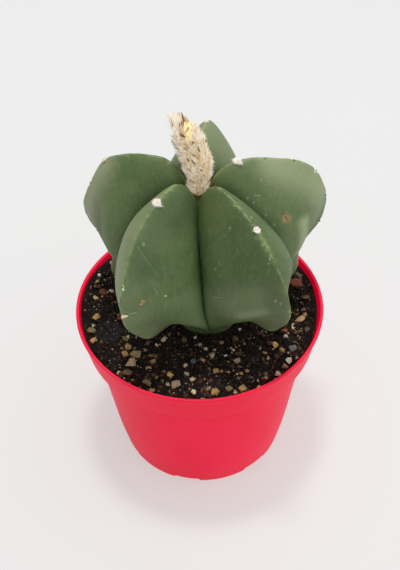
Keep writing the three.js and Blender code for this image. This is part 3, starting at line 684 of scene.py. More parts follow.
# Dry brown root fibres are what is left of older roots. One long one lies near the front right stones,
# as [x, y] along it, and short ones are mixed through the peat.
ROOT_FIBRE = [[28.6, -19.6], [26.6, -20.8], [25.0, -22.4], [23.9, -24.6], [23.2, -27.2]]
FIBRE_COUNT = 130
FIBRE_CLEARANCE = 14.0
fibre, shader, place = finish_named("root_fibre", Roughness=0.8)
fibrous = mottle(place, 0.6, 3.0)
wear(shader, "Base Color", mixed(rise(fibrous, 0.4, 0.6), paint(66, 44, 30), paint(126, 90, 62)))
bumps(shader, fibrous, 0.1)
lines = [([(x, y, surface(x, y) + 0.7) for x, y in ROOT_FIBRE], 0.3)]
for x, y, size in strewn(FIBRE_COUNT, 0.6, 1.8, 1.5, draw, FIBRE_CLEARANCE):
    heading, bend = draw.uniform(0, 6.283), draw.uniform(-1.2, 1.2)
    line = []
    for step in range(6):
        angle = heading + bend * step / 5
        x, y = x + 0.4 * size * math.cos(angle), y + 0.4 * size * math.sin(angle)
        line.append((x, y, ground(x, y) + draw.uniform(0.25, 0.6)))
    if max(math.hypot(px, py) for px, py, _ in line) < edge - 0.5:
        lines.append((line, draw.uniform(0.08, 0.2)))
strands = [strand(line, width) for line, width in lines]
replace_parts(piece("root_fibres", *gathered(strands), fibre, "potting_mix"), "soil")

# The plant's body grew as one piece: five broad ribs round a sunken crown, in a waxy grey-green skin
# that pales along the crests, and a plain root neck that stands in the soil. It has no white flecks.
# Levels run down the plant, from 0 in the crown's pit to 13 at the neck, one to a row of these tables. The
# crest's row is [radius, height, breadth], the furrow's [radius, height, swelling] and the keel's, the
# crest's underside, [inset, rise].
CREST = [
    [3.0, 111.8, 0.6], [5.2, 117.5, 1.5], [10.6, 121.7, 2.5], [18.6, 121.6, 3.2], [26.2, 119.3, 3.2],
    [33.3, 115.3, 3.2], [39.1, 108.8, 3.4], [42.3, 99.7, 3.2], [41.3, 91.1, 2.6], [37.8, 84.0, 2.0],
    [32.3, 77.0, 1.7], [24.2, 73.5, 1.7], [17.0, 69.4, 2.0], [12.0, 61.0, 2.0],
]
FURROW = [
    [2.4, 111.4, 0.3], [4.2, 112.7, 1.2], [6.9, 112.9, 2.8], [11.1, 110.8, 4.5], [16.1, 106.3, 6.5],
    [20.2, 100.2, 8.0], [22.5, 93.1, 9.0], [23.4, 86.1, 8.5], [23.2, 80.0, 6.0], [22.0, 74.5, 3.5],
    [19.7, 69.5, 2.0], [16.6, 65.6, 1.0], [13.6, 62.4, 0.5], [11.3, 61.0, 0.3],
]
KEEL = [
    *[[0.0, 0.0]] * 7, [1.0, 0.0], [5.0, 0.5], [9.0, 2.5], [10.0, 4.0], [7.0, 3.0], [2.0, 1.0], [0.0, 0.0],
]
LEVELS = len(CREST) - 1
# One rib a row. Its crest heads for azimuth and bends by lean, [degrees, level, spread]. reach scales its
# radius, lift raises its top, shoulder [mm, level] and chin (mm) raise the crest at the shoulder and
# underneath, and foot [outwards, down] draws out its lower end. Rows of bulges, on the crest, and of flanks,
# one list a side, are [mm, level, spread]. pads and scars are the levels of its woolly and its bare areoles,
# and the last entry says how much paler or darker each side is painted: partly its waxy bloom, partly
# painted light on a side turned to the light and painted shade on a side turned away.
RIBS = [
    {"azimuth": 162, "lean": [0, 5.5, 2.5], "reach": 0.985, "lift": 2.0, "shoulder": [1.2, 5], "chin": 0,
     "foot": [11.5, 8.3], "bulges": [[-2.4, 6.0, 1.2], [0.7, 8.05, 0.95]],
     "flanks": [[[-0.5, 8.5, 1.2]], [[-1.9, 8.6, 1.2]]],
     "pads": [4.86], "scars": [1.9, 3.4, 6.3, 7.5, 8.7], "tone": [0.0, 0.05]},
    {"azimuth": 232, "lean": [2.0, 5.5, 2.5], "reach": 1.005, "lift": 1.2, "shoulder": [0, 5], "chin": -3.5,
     "foot": [0, 0], "bulges": [[1.5, 8.3, 1.3], [-0.7, 6.1, 1.2]], "flanks": [[[3.0, 4.2, 1.2]], []],
     "pads": [3.12], "scars": [1.7, 4.5, 5.6, 6.48, 7.43, 8.6], "tone": [0.6, -0.02]},
    {"azimuth": 305.5, "lean": [-1.45, 6.75, 1.8], "reach": 1.005, "lift": 0.3, "shoulder": [-0.5, 5],
     "chin": -0.5, "foot": [0, 0], "bulges": [[2.2, 7.0, 1.3], [-0.85, 6.05, 1.0]],
     "flanks": [[], [[4.7, 5.3, 1.8], [-6.5, 6.95, 0.5]]],
     "pads": [4.35], "scars": [1.8, 3.12, 5.46, 6.4, 7.38, 8.5], "tone": [-0.42, 0.0]},
    {"azimuth": 17.5, "lean": [0, 5.5, 2.5], "reach": 0.995, "lift": -0.6, "shoulder": [2.4, 5.8],
     "chin": 0, "foot": [7.4, 8.3], "bulges": [[0.5, 7.05, 1.2], [-2.2, 9.6, 0.9]],
     "flanks": [[[-1.7, 7.75, 1.2]], [[-0.5, 8.5, 1.2]]],
     "pads": [2.3], "scars": [3.5, 4.8, 5.99, 7.1, 8.3], "tone": [0.1, 0.42]},
    {"azimuth": 83.5, "lean": [0, 5.5, 2.5], "reach": 1.0, "lift": 0.5, "shoulder": [0, 5], "chin": 0,
     "foot": [0, 0], "bulges": [], "flanks": [[], []],
     "pads": [4.33], "scars": [1.9, 3.1, 5.5, 6.6, 7.7], "tone": [0.42, 0.42]},
]
# Where these act, as [level, spread], and over what height and how many levels the lift comes in.
SHOULDER_SPREAD = 1.3
CHIN = [10, 2]
FOOT_REACH = [11.1, 0.95]
FOOT_DROP = [11.35, 0.95]
LIFT_HEIGHT = 60
LIFT_FADE = 2
# How far the plant's middle lies from the pot's axis, [x, y], at even steps from the pit to the neck.
SHIFT = [[0.6, 2.0], [0.2, 2.0], [1.6, 2.0], [3.6, 2.0], [2.8, 2.2]]
PLANT_MIDDLE = (2, 2, 90)
NECK_HEIGHTS = (57.0, 52.5, 48.0)
NECK_BOTTOM_RADIUS = 10.0
SKIN_RINGS = 330
SKIN_STEPS = 25


def through(rows, share):
    """Points of the smooth curve through rows, at shares of its way."""
    rows = np.array(rows, float)
    ends = np.vstack([2 * rows[0] - rows[1], rows, 2 * rows[-1] - rows[-2]])
    way = np.clip(share, 0, 1) * (len(rows) - 1)
    first = np.minimum(way.astype(int), len(rows) - 2)
    u = (way - first)[..., None]
    a, b, c, d = (ends[first + step] for step in range(4))
    squared, cubed = 2 * a - 5 * b + 4 * c - d, 3 * b - a - 3 * c + d
    return 0.5 * (2 * b + (c - a) * u + squared * u ** 2 + cubed * u ** 3)


def hump(level, middle, width):
    """A hump of height 1 around a level."""
    return np.exp(-(((level - middle) / width) ** 2))


def crest_azimuth(rib, level):
    """A rib's heading at a level, in radians."""
    size, at, spread = rib["lean"]
    return np.radians(rib["azimuth"] + size * hump(level, at, spread))


def raised(height, lift, level):
    """How far a rib's lift raises a point at a height."""
    return lift * np.maximum((height - SOIL_LEVEL) / LIFT_HEIGHT, 0) * np.minimum(level / LIFT_FADE, 1)


def skin(number, side, across, level):
    """Points of a rib's flank: across from 0 in the furrow to 1 on the crest, level from the pit down."""
    across, level = np.broadcast_arrays(np.asarray(across, float), np.asarray(level, float))
    rib, neighbour = RIBS[number], RIBS[(number + side) % len(RIBS)]
    crest, furrow, keel, shift = (through(rows, level / LEVELS) for rows in (CREST, FURROW, KEEL, SHIFT))
    azimuth = crest_azimuth(rib, level)
    half = (side * (crest_azimuth(neighbour, level) - azimuth)) % (2 * np.pi) / 2
    radius = crest[..., 0] * rib["reach"] + rib["foot"][0] * hump(level, *FOOT_REACH)
    for size, at, spread in rib["bulges"]:
        radius = radius + size * hump(level, at, spread)
    height = crest[..., 1] + raised(crest[..., 1], rib["lift"], level)
    height = height - rib["foot"][1] * hump(level, *FOOT_DROP)
    height = height + rib["shoulder"][0] * hump(level, rib["shoulder"][1], SHOULDER_SPREAD)
    furrow_radius = furrow[..., 0] * (rib["reach"] + neighbour["reach"]) / 2
    furrow_height = furrow[..., 1] + raised(furrow[..., 1], (rib["lift"] + neighbour["lift"]) / 2, level)
    full, swollen = 0, furrow_radius + furrow[..., 2]
    for size, at, spread in rib["flanks"][0 if side < 0 else 1]:
        wider = size * hump(level, at, spread)
        full = full + wider
        swollen = swollen + 1.5 * np.minimum(wider, 0)
    corners = [
        [furrow_radius * np.cos(half), furrow_radius * np.sin(half), furrow_height],
        [swollen * np.cos(half), swollen * np.sin(half), furrow_height + 0.15 * keel[..., 1]],
        [radius - keel[..., 0], crest[..., 2] + full, height + keel[..., 1]],
        [radius, 0 * radius, height + rib["chin"] * hump(level, *CHIN)],
    ]
    rest = 1 - across
    weights = [rest ** 3, 3 * rest ** 2 * across, 3 * rest * across ** 2, across ** 3]
    x, y, z = (sum(w * corner[axis] for w, corner in zip(weights, corners)) for axis in range(3))
    y = y * side
    return np.stack([x * np.cos(azimuth) - y * np.sin(azimuth) + shift[..., 0],
                     x * np.sin(azimuth) + y * np.cos(azimuth) + shift[..., 1], z], -1)


def skin_grid(levels):
    """The whole skin: points by level and by step round the plant, with across, rib and side."""
    even = np.arange(SKIN_STEPS) / SKIN_STEPS
    eased = 0.35 * even + 0.65 * (0.5 - 0.5 * np.cos(np.pi * even))
    columns, shares, owners = [], [], []
    for number in range(len(RIBS)):
        for side, across in ((-1, eased), (1, 1 - eased)):
            columns.append(skin(number, side, across[None, :], levels[:, None]))
            shares.append(across)
            owners += [number] * SKIN_STEPS
    return np.concatenate(columns, axis=1), np.concatenate(shares), np.array(owners)


levels = LEVELS * np.linspace(0, 1, SKIN_RINGS)
places, across, owners = skin_grid(levels)
down = np.gradient(places, axis=0)
around = np.roll(places, -1, axis=1) - np.roll(places, 1, axis=1)
normals = np.cross(down, around)
normals /= np.maximum(np.linalg.norm(normals, axis=2), 1e-9)[..., None]
crest_columns = np.flatnonzero(across == 1.0)
furrow_columns = np.flatnonzero(across == 0.0)
columns = np.arange(len(across))
own_crest = crest_columns[owners]
half_way = len(across) // 2
steps_off = (columns[:, None] - furrow_columns[None, :] + half_way) % len(across) - half_way
own_furrow = furrow_columns[np.abs(steps_off).argmin(1)]
from_crest = np.linalg.norm(places - places[:, own_crest], axis=2)
from_furrow = np.linalg.norm(places - places[:, own_furrow], axis=2)


def swell(point):
    """The slight unevenness of the grown skin at a place."""
    broad = noise.noise(Vector(point / 13.0))
    return 0.28 * broad + 0.045 * noise.fractal(Vector(point / 3.1), 1.0, 2.0, 2)


def on_skin(number, side, spot):
    """The place of a spot of [across, level] on the uneven skin, and the way out from it."""
    here = skin(number, side, spot[0], spot[1])
    down = skin(number, side, spot[0], spot[1] + 0.05) - here
    over = skin(number, side, spot[0] - 0.02, spot[1]) - here
    out = np.cross(down, over)
    out *= np.sign(out @ (here - PLANT_MIDDLE)) / np.linalg.norm(out)
    return here + swell(here) * out, out


def off_line(points, start, end):
    """How far points lie from the straight line between two places."""
    way = end - start
    share = np.clip((points - start) @ way / (way @ way), 0, 1)
    return np.linalg.norm(points - start - share[..., None] * way, axis=-1)


FLECK = paint(178, 182, 140)
SCRATCH = paint(146, 156, 112)
CORK = paint(152, 124, 80)
# Marks of the skin, each along a line from one spot of [across, level] to another: first wide soft patches,
# mostly painted light on flanks turned to the light and painted shade near furrows and other ribs, then
# scratches, nicks, folds, specks, two patches of paler bloom and a spot of cork: [rib, side, spot, spot,
# half width, height, colour, strength]. From a half width of SOFT_WIDTH on, a mark has a soft edge.
SOFT_WIDTH = 1.45
MARKS = [
    # Wide patches, mostly painted light on flanks turned to the light and painted shade near the furrows.
    [0, 1, [0.93, 5.0], [0.85, 7.8], 5.0, 0.0, paint(176, 180, 146), 0.5],
    [0, 1, [0.1, 3.4], [0.1, 5.6], 3.0, 0.0, paint(38, 50, 24), 0.5],
    [1, 1, [0.8, 3.5], [0.74, 5.4], 5.0, 0.0, paint(66, 82, 56), 0.42],
    [1, 1, [0.2, 6.2], [0.22, 8.4], 4.0, 0.0, paint(100, 124, 82), 0.7],
    [1, 1, [0.55, 1.8], [0.5, 3.4], 4.0, 0.0, paint(56, 70, 44), 0.5],
    [2, -1, [0.84, 6.3], [0.8, 7.6], 4.0, 0.0, paint(66, 78, 46), 0.5],
    [2, -1, [0.7, 1.2], [0.6, 3.0], 4.5, 0.0, paint(112, 126, 74), 0.3],
    [2, 1, [0.5, 2.6], [0.55, 4.2], 4.0, 0.0, paint(40, 56, 28), 0.6],
    [3, -1, [0.06, 3.0], [0.1, 5.2], 3.0, 0.0, paint(46, 64, 30), 0.5],
    [3, -1, [0.86, 4.0], [0.85, 6.6], 6.0, 0.0, paint(170, 178, 140), 0.5],
    [1, 1, [0.995, 6.44], [0.965, 6.56], 0.26, 0.1, paint(232, 236, 212), 0.95],
    [1, 1, [0.865, 7.53], [0.775, 7.34], 0.13, 0.05, paint(196, 202, 166), 0.7],
    [1, 1, [0.715, 6.74], [0.7, 6.72], 0.42, 0.12, paint(176, 130, 86), 0.9],
    [1, 1, [0.728, 6.88], [0.715, 6.85], 0.38, 0.1, paint(184, 142, 98), 0.9],
    [1, 1, [0.52, 6.28], [0.514, 6.27], 0.24, 0.0, paint(212, 210, 172), 0.85],
    [1, 1, [0.84, 4.78], [0.83, 4.82], 0.4, 0.0, SCRATCH, 0.5],
    [1, 1, [0.905, 4.99], [0.755, 5.27], 0.15, 0.0, SCRATCH, 0.3],
    [1, 1, [0.755, 5.27], [0.595, 5.65], 0.12, 0.0, SCRATCH, 0.28],
    [1, 1, [0.625, 6.12], [0.58, 6.31], 0.12, 0.0, paint(160, 170, 130), 0.4],
    [2, -1, [0.945, 3.13], [0.94, 3.15], 0.36, 0.06, FLECK, 0.34],
    [2, 1, [0.93, 3.83], [0.925, 3.86], 0.4, 0.06, FLECK, 0.34],
    [2, -1, [0.94, 4.89], [0.935, 4.91], 0.33, 0.0, FLECK, 0.29],
    [2, -1, [0.935, 5.42], [0.93, 5.44], 0.35, 0.05, FLECK, 0.36],
    [2, -1, [0.885, 5.54], [0.88, 5.55], 0.28, 0.0, FLECK, 0.29],
    [2, -1, [0.81, 6.7], [0.8, 6.73], 0.28, 0.05, paint(160, 148, 108), 0.7],
    [2, -1, [0.86, 6.84], [0.85, 6.87], 0.28, 0.05, paint(150, 134, 96), 0.7],
    [2, -1, [0.968, 7.3], [0.96, 7.36], 0.4, 0.06, FLECK, 0.34],
    [2, -1, [0.4, 4.74], [0.4, 4.83], 0.28, -0.08, paint(120, 122, 82), 0.6],
    [2, -1, [0.335, 4.94], [0.33, 4.96], 0.26, 0.0, FLECK, 0.31],
    [2, -1, [0.66, 3.76], [0.65, 3.78], 0.3, 0.0, FLECK, 0.28],
    [2, -1, [0.26, 6.09], [0.36, 6.14], 0.14, 0.0, SCRATCH, 0.4],
    [2, -1, [0.66, 7.1], [0.5, 7.2], 2.0, 0.0, paint(142, 152, 122), 0.4],
    [2, -1, [0.6, 6.5], [0.4, 6.6], 4.5, 0.0, paint(132, 144, 106), 0.24],
    [3, -1, [0.315, 3.18], [0.31, 3.21], 0.34, 0.0, FLECK, 0.29],
    [3, -1, [0.39, 3.41], [0.42, 3.62], 0.2, 0.0, FLECK, 0.34],
    [3, -1, [0.3, 3.52], [0.295, 3.55], 0.3, 0.0, FLECK, 0.29],
    [3, -1, [0.26, 4.25], [0.255, 4.28], 0.32, 0.0, FLECK, 0.29],
    [3, -1, [0.24, 4.82], [0.235, 4.85], 0.34, 0.0, FLECK, 0.29],
    [3, -1, [0.61, 3.43], [0.6, 3.45], 0.3, 0.0, FLECK, 0.31],
    [3, -1, [0.855, 5.24], [0.85, 5.26], 0.32, 0.0, FLECK, 0.29],
    [3, -1, [0.72, 5.71], [0.715, 5.74], 0.3, 0.0, FLECK, 0.31],
    [3, -1, [0.361, 5.13], [0.369, 5.21], 1.44, 0.14, CORK, 0.85],
    [3, -1, [0.372, 5.09], [0.362, 5.15], 0.36, -0.2, paint(100, 78, 48), 0.7],
    [3, -1, [0.358, 5.22], [0.368, 5.26], 0.3, -0.1, paint(108, 84, 52), 0.7],
    [3, -1, [0.35, 5.12], [0.345, 5.14], 0.3, 0.1, paint(176, 154, 108), 0.7],
    [3, -1, [0.41, 4.99], [0.405, 5.01], 0.22, 0.08, FLECK, 0.34],
    [3, -1, [0.37, 4.99], [0.365, 5.01], 0.2, 0.08, FLECK, 0.34],
    # Painted highlight: this fold stands out in relief and its lit crown is painted paler.
    [3, -1, [0.47, 6.2], [0.42, 7.4], 2.2, 0.5, paint(162, 172, 136), 0.8],
    [3, -1, [1.0, 6.02], [0.93, 5.9], 0.5, -0.35, paint(216, 216, 190), 0.85],
    [0, 1, [0.95, 4.7], [0.91, 4.78], 0.5, -0.3, paint(190, 192, 156), 0.8],
    [0, 1, [0.91, 6.56], [0.9, 6.6], 0.4, -0.1, FLECK, 0.34],
    [0, -1, [1.0, 7.93], [0.98, 7.98], 0.4, -0.1, FLECK, 0.34],
    # Painted highlight and shade: a ridge on rib 0's flank stands out in relief with its lit crown painted
    # paler, and the hollow beside it is sunk and painted darker.
    [0, 1, [0.515, 5.44], [0.345, 6.9], 1.5, 0.6, paint(122, 134, 100), 0.35],
    [0, 1, [0.64, 6.2], [0.535, 6.75], 2.2, -0.7, paint(96, 98, 80), 0.4],
]
relief = np.apply_along_axis(swell, 2, places)
relief += 0.05 * np.exp(-((from_crest / 0.6) ** 2))
for rib, side, start, end, half_width, height, _, _ in MARKS:
    far = off_line(places, on_skin(rib, side, start)[0], on_skin(rib, side, end)[0])
    relief += height * np.exp(-((far / (1.1 * half_width + 0.25)) ** 2))
for number, rib in enumerate(RIBS):
    ours = owners == number
    for level in rib["pads"] + rib["scars"]:
        dip = hump(levels, level, 0.13)[:, None] * np.exp(-((from_crest[:, ours] / 1.6) ** 2))
        lips = hump(levels, level, 0.3)[:, None] * np.exp(-((from_crest[:, ours] / 1.8) ** 2))
        relief[:, ours] += 0.16 * lips - (0.5 if level in rib["pads"] else 0.32) * dip
relief *= np.minimum(levels / 0.6, 1)[:, None] * np.minimum((LEVELS - levels) / 0.5, 1)[:, None]
body = places + relief[..., None] * normals

neck_rings = []
middle = np.array(SHIFT[-1])
spokes = body[-1, :, :2] - middle
reach = np.linalg.norm(spokes, axis=1)[:, None]
skin_end = places[-1, :, 2].mean()
for height in NECK_HEIGHTS:
    share = (skin_end - height) / (skin_end - NECK_HEIGHTS[-1])
    wide = (1 - share) * reach + share * NECK_BOTTOM_RADIUS
    neck_rings.append(np.column_stack([middle + spokes / reach * wide, np.full(len(spokes), height)]))
rings = list(body) + neck_rings
closing = [body[0].mean(0), neck_rings[-1].mean(0)]


def line_signal(place, start, end):
    """How far the skin lies from the straight line between two places, in metres."""
    way = Vector(end - start)
    offset = place.vector("SUBTRACT", start * MM)
    share = offset.vector("DOT_PRODUCT", way / (way.length_squared * MM), 1)
    share = place.node("ShaderNodeClamp", {}, {"Value": share})
    nearest = place.node("ShaderNodeVectorMath", {"operation": "SCALE"}, {0: way * MM, "Scale": share})
    return offset.vector("DISTANCE", nearest, 1)


green, shader, place = finish_named("cactus_skin", Roughness=0.5, Specular_IOR_Level=0.28)
cloud = mottle(place, 11.0, 3.0)
speckle = mottle(place, 0.45, 3.0, 0.6)
broken = mottle(place, 1.3, 4.0, 0.6)
kept_names = ("crest_mm", "furrow_mm", "level", "tone")
crest_mm, furrow_mm, depth, tone = (told(place, name, 2) for name in kept_names)
streaks = mottle(place.vector("MULTIPLY", (1.0, 1.0, 0.14)), 1.1, 4.0, 0.6)
colour = mixed(rise(cloud, 0.36, 0.64), paint(78, 99, 57), paint(92, 111, 69))
# Each side of a rib is painted paler or darker: partly its waxy bloom, partly painted light or painted shade
# by the way the side faces the light.
colour = mixed(tone, colour, paint(150, 160, 119))
colour = mixed(0 - tone, colour, paint(56, 66, 36))
bloom = rise(crest_mm + 6 * mottle(place, 5.0, 3.0), 19.0, 5.0) * rise(depth, 5.0, 8.5)
colour = mixed(bloom * 0.35, colour, paint(136, 146, 116))
# Painted shade: the flanks are painted a deeper, darker green towards each furrow, with a narrow dark line
# along the furrow's bottom.
colour = mixed(rise(furrow_mm + 4 * cloud, 13.0, 2.0) * 0.5, colour, paint(58, 84, 36))
colour = mixed(rise(furrow_mm, 6.0, 0.4) * 0.65, colour, paint(32, 56, 16))
fuzz = rise(furrow_mm, 1.6, 0.7) * rise(mottle(place, 0.35, 1.0), 0.62, 0.68)
colour = mixed(fuzz * 0.6, colour, paint(152, 166, 122))
colour = mixed(rise(streaks, 0.5, 0.7) * 0.22, colour, paint(122, 132, 100))
colour = mixed(rise(streaks, 0.46, 0.3) * 0.3, colour, paint(64, 84, 44))
colour = mixed(rise(speckle, 0.58, 0.7) * 0.18, colour, paint(136, 150, 112))
colour = mixed(rise(mottle(place, 0.22, 1.0), 0.7, 0.76) * 0.5, colour, paint(160, 170, 136))
halo = rise(crest_mm + 4.2 * broken, 4.0, 1.9) * rise(mottle(place, 7.0, 2.0), 0.36, 0.6)
colour = mixed(halo * 0.38, colour, paint(142, 158, 98))
line = rise(crest_mm + 1.6 * broken, 1.4, 0.7) * rise(mottle(place, 2.6, 3.0), 0.4, 0.56)
colour = mixed(line * 0.42, colour, paint(172, 182, 134))
ragged = 0.5 + 1.0 * mottle(place, 0.5, 3.0)
for rib, side, start, end, half_width, _, mark_colour, strength in MARKS:
    far = line_signal(place, on_skin(rib, side, start)[0], on_skin(rib, side, end)[0]) * ragged
    soft = 0.25 if half_width < SOFT_WIDTH else 0.9
    amount = rise(far, (1 + soft) * half_width * MM, (1 - soft) * half_width * MM) * strength
    colour = mixed(amount, colour, mark_colour)
wear(shader, "Base Color", colour)
wear(shader, "Roughness", 0.48 + 0.12 * speckle + 0.06 * cloud)
bumps(shader, speckle * 0.5 + mottle(place, 1.6, 4.0) * 0.5, 0.06, 0.6)

stem = piece("cactus_body", np.vstack(rings + [closing]), ring_faces(rings), green, "cactus_skin")
own_side = np.tile(np.repeat([0, 1], SKIN_STEPS), len(RIBS))
side_light_and_bloom_values = np.array([RIBS[owner]["tone"][side] for owner, side in zip(owners, own_side)])
side_light_and_bloom_values = side_light_and_bloom_values * np.minimum(1, 4 * across) * np.minimum(levels / 3, 1)[:, None]
# The neck's points and the two closing ones count as far from the crests, and get no painted side light,
# shade or bloom.
NECK_VALUE = 14.0
extra = len(neck_rings) * len(across) + 2
for name, values in zip(kept_names, (from_crest, from_furrow, levels[:, None], side_light_and_bloom_values)):
    kept = stem.data.attributes.new(name, "FLOAT", "POINT")
    values = np.broadcast_to(values, from_crest.shape).ravel()
    below = np.full(extra, 0.0 if name == "tone" else NECK_VALUE)
    kept.data.foreach_set("value", np.concatenate([values, below]))
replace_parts(stem, "cactus_stem")

# A flake of dry tissue and two smaller bits have stuck to the lower left of the skin's front. They lie
# flat on it: [rib, side, spot, half length, half width, heading, colour].
DEBRIS = [
    [1, 1, [0.945, 7.62], 1.4, 1.05, 18, paint(240, 226, 180)],
    [1, 1, [0.905, 7.57], 0.6, 0.3, -20, paint(178, 124, 88)],
    [1, 1, [0.965, 7.52], 0.5, 0.3, 60, paint(228, 206, 160)],
]
flake, shader, place = finish_named("dry_flake", Roughness=0.85)
grainy = mottle(place, 0.3, 3.0)
wear(shader, "Base Color", mixed(rise(grainy, 0.45, 0.7) * 0.4, told(place, "tint"), paint(150, 116, 80)))
bumps(shader, grainy, 0.1)
parts = []
for (number, side, spot, long, wide, heading, colour), (points, triangles) in zip(DEBRIS, sharp_chips):
    here, out = on_skin(number, side, spot)
    level_way = np.cross([0.0, 0.0, 1.0], out)
    level_way /= np.linalg.norm(level_way)
    turn = math.radians(heading)
    along = math.cos(turn) * level_way + math.sin(turn) * np.cross(out, level_way)
    flat = points * (long, wide, 0.28) @ np.array([along, np.cross(out, along), out])
    parts.append((here + 0.14 * out + flat, triangles, colour))
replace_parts(tinted("stuck_debris", parts, flake, "cactus_skin", smooth=False), "cactus_stem")

# Each areole is a low felted cushion in a notch of the crest. The young ones near the crown carry a
# ragged tuft of cream wool, and the old ones have worn down to a small corky dot.
PAD_SIZE = (1.0, 0.9, 0.5)
SCAR_SIZE = (0.42, 0.34, 0.16)


def crest_frame(number, level):
    """A point of a crest with its directions along the crest, aside and outwards."""
    here = skin(number, 1, 1.0, level)
    along = skin(number, 1, 1.0, level + 0.1) - here
    along /= np.linalg.norm(along)
    aside = np.cross([0.0, 0.0, 1.0], along)
    aside /= np.linalg.norm(aside)
    return here, along, aside, np.cross(along, aside)


def hairs(roots, ways, lengths, width, bend, draw, sections=3):
    """Points and faces of thin tapering three-sided hairs."""
    roots, ways = np.asarray(roots, float), np.asarray(ways, float)
    count = len(roots)
    lengths = np.asarray(lengths, float)[:, None]
    ways = ways / np.linalg.norm(ways, axis=1)[:, None]
    random_way = draw.normal(size=(count, 3))
    aside = np.cross(ways, random_way)
    aside /= np.linalg.norm(aside, axis=1)[:, None]
    over = np.cross(ways, aside)
    sag = aside * draw.uniform(-bend, bend, (count, 1)) + over * draw.uniform(-bend, bend, (count, 1))
    rows = []
    for section in range(sections):
        s = section / sections
        middle = roots + lengths * (ways * s + sag * s * s)
        for corner in range(3):
            angle = 2 * np.pi * corner / 3
            spoke = np.cos(angle) * aside + np.sin(angle) * over
            rows.append(middle + 0.5 * width * (1 - 0.7 * s) * spoke)
    rows.append(roots + lengths * (ways + sag))
    each = len(rows)
    places = np.stack(rows, 1).reshape(-1, 3)
    shape = [[0, 2, 1]]
    for section in range(sections - 1):
        low, high = 3 * section, 3 * section + 3
        for corner in range(3):
            after = (corner + 1) % 3
            shape += [[low + corner, low + after, high + after], [low + corner, high + after, high + corner]]
    last = 3 * (sections - 1)
    shape += [[last + corner, last + (corner + 1) % 3, each - 1] for corner in range(3)]
    starts = each * np.arange(count)
    faces = (np.array(shape)[None] + starts[:, None, None]).reshape(-1, 3)
    return places, faces, each


def tinted_finish(name, other, grain, amount, **constants):
    """A finish that takes its colour from the mesh and clouds it with another one. Thin dry wool and
    petals let light through, which a low emission of their own colour stands for."""
    material, shader, place = finish_named(name, **constants)
    cloud = mottle(place, grain, 4.0, 0.65)
    colour = mixed(rise(cloud, 0.42, 0.66) * amount, told(place, "tint"), other)
    wear(shader, "Base Color", colour)
    wear(shader, "Emission Color", colour)
    bumps(shader, cloud, 0.12)
    return material


felt = tinted_finish("areole_felt", paint(112, 96, 66), 0.35, 0.35, Roughness=0.95)
wool = tinted_finish("areole_wool", paint(240, 228, 208), 0.5, 0.25, Roughness=0.95, Sheen_Weight=0.5,
                     Emission_Strength=0.22)

ball = bmesh.new()
bmesh.ops.create_icosphere(ball, subdivisions=3, radius=1.0)
ball.verts.index_update()
BALL_POINTS, BALL_FACES = mesh_lists(ball)
ball.free()


def cushion(number, level, sizes):
    """The points of a lumpy flattened ball lying on a crest."""
    here, along, aside, outward = crest_frame(number, level)
    offset = Vector((level, number, 0.0))
    lumps = np.array([1 + 0.35 * noise.noise(Vector(point) * 2.3 + offset) for point in BALL_POINTS])
    return here + BALL_POINTS * lumps[:, None] * sizes @ np.array([along, aside, outward])


parts = []
for number, rib in enumerate(RIBS):
    parts += [(cushion(number, level, PAD_SIZE), BALL_FACES, paint(240, 222, 204)) for level in rib["pads"]]
    parts += [(cushion(number, level, SCAR_SIZE), BALL_FACES, paint(118, 134, 80)) for level in rib["scars"]]
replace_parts(tinted("areole_cushions", parts, felt, "cactus_skin"), "cactus_stem")

# A tuft's wool stands in locks: [rib, level, hairs in a lock, length, tail], the tail being the way of
# two longer locks along the crest and aside, or none.
TUFTS = [
    [1, 3.14, 56, 1.15, [0.35, 0.95]], [2, 4.37, 36, 0.8, None], [3, 2.34, 60, 1.1, [0.5, -0.9]],
    [0, 4.86, 6, 0.45, None], [4, 4.33, 12, 0.5, None],
]
LOCKS = 8
spread = np.random.default_rng(41)
roots, ways, lengths, tints = [], [], [], []
for number, level, count, length, tail in TUFTS:
    here, along, aside, outward = crest_frame(number, level)
    locks = []
    for lock in range(LOCKS):
        angle = 2 * np.pi * lock / LOCKS + spread.uniform(-0.3, 0.3)
        locks.append((np.cos(angle), np.sin(angle), spread.uniform(0.6, 1.1)))
    if tail:
        locks += [(*tail, 1.7), (*tail, 1.5)]
    for u, v, reach in locks:
        for _ in range(count):
            start = spread.uniform(0.1, 0.8)
            root = here + start * (0.8 * u * along + 0.75 * v * aside) + 0.3 * outward
            roots.append(root + spread.normal(0, 0.16, 3))
            way = u * along + v * aside + outward * spread.uniform(0.1, 0.5)
            ways.append(way + spread.normal(0, 0.28, 3))
            lengths.append(reach * length * spread.uniform(0.5, 1.1))
            tints.append(paint(254, 251, 244) if start > 0.24 else paint(222, 184, 156))
places, faces, each = hairs(roots, ways, lengths, 0.19, 0.35, spread)
tufts = piece("areole_wool", places, faces, wool, "cactus_skin")
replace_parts(with_tints(tufts, np.repeat(tints, each, axis=0)), "cactus_stem")

# The withered flower's tube stands in the crown: a dry papery spindle under matted beige wool, with
# narrow scales that dry to dark brown tips. It grew out of the crown's pit and is held by its foot.
# A row of the tube, from foot to mouth, is [x, y, z, radius]. Its mouth is a shallow socket.
TUBE = [
    [0.5, 2.5, 111.9, 1.6], [0.5, 2.9, 114.7, 2.7], [0.8, 3.6, 119.8, 4.1], [0.1, 4.2, 123.9, 4.5],
    [-1.0, 4.9, 128.5, 4.4], [-2.2, 5.4, 131.8, 4.1], [-3.3, 5.7, 134.0, 3.5],
]
TUBE_SIDES = 72
TUBE_RINGS = 90
SOCKET_DEPTH = 0.16
SOCKET_RADIUS = 2.3
UNDER_WOOL = 0.35
SCALE_ROWS = 15
SCALES_A_ROW = 9
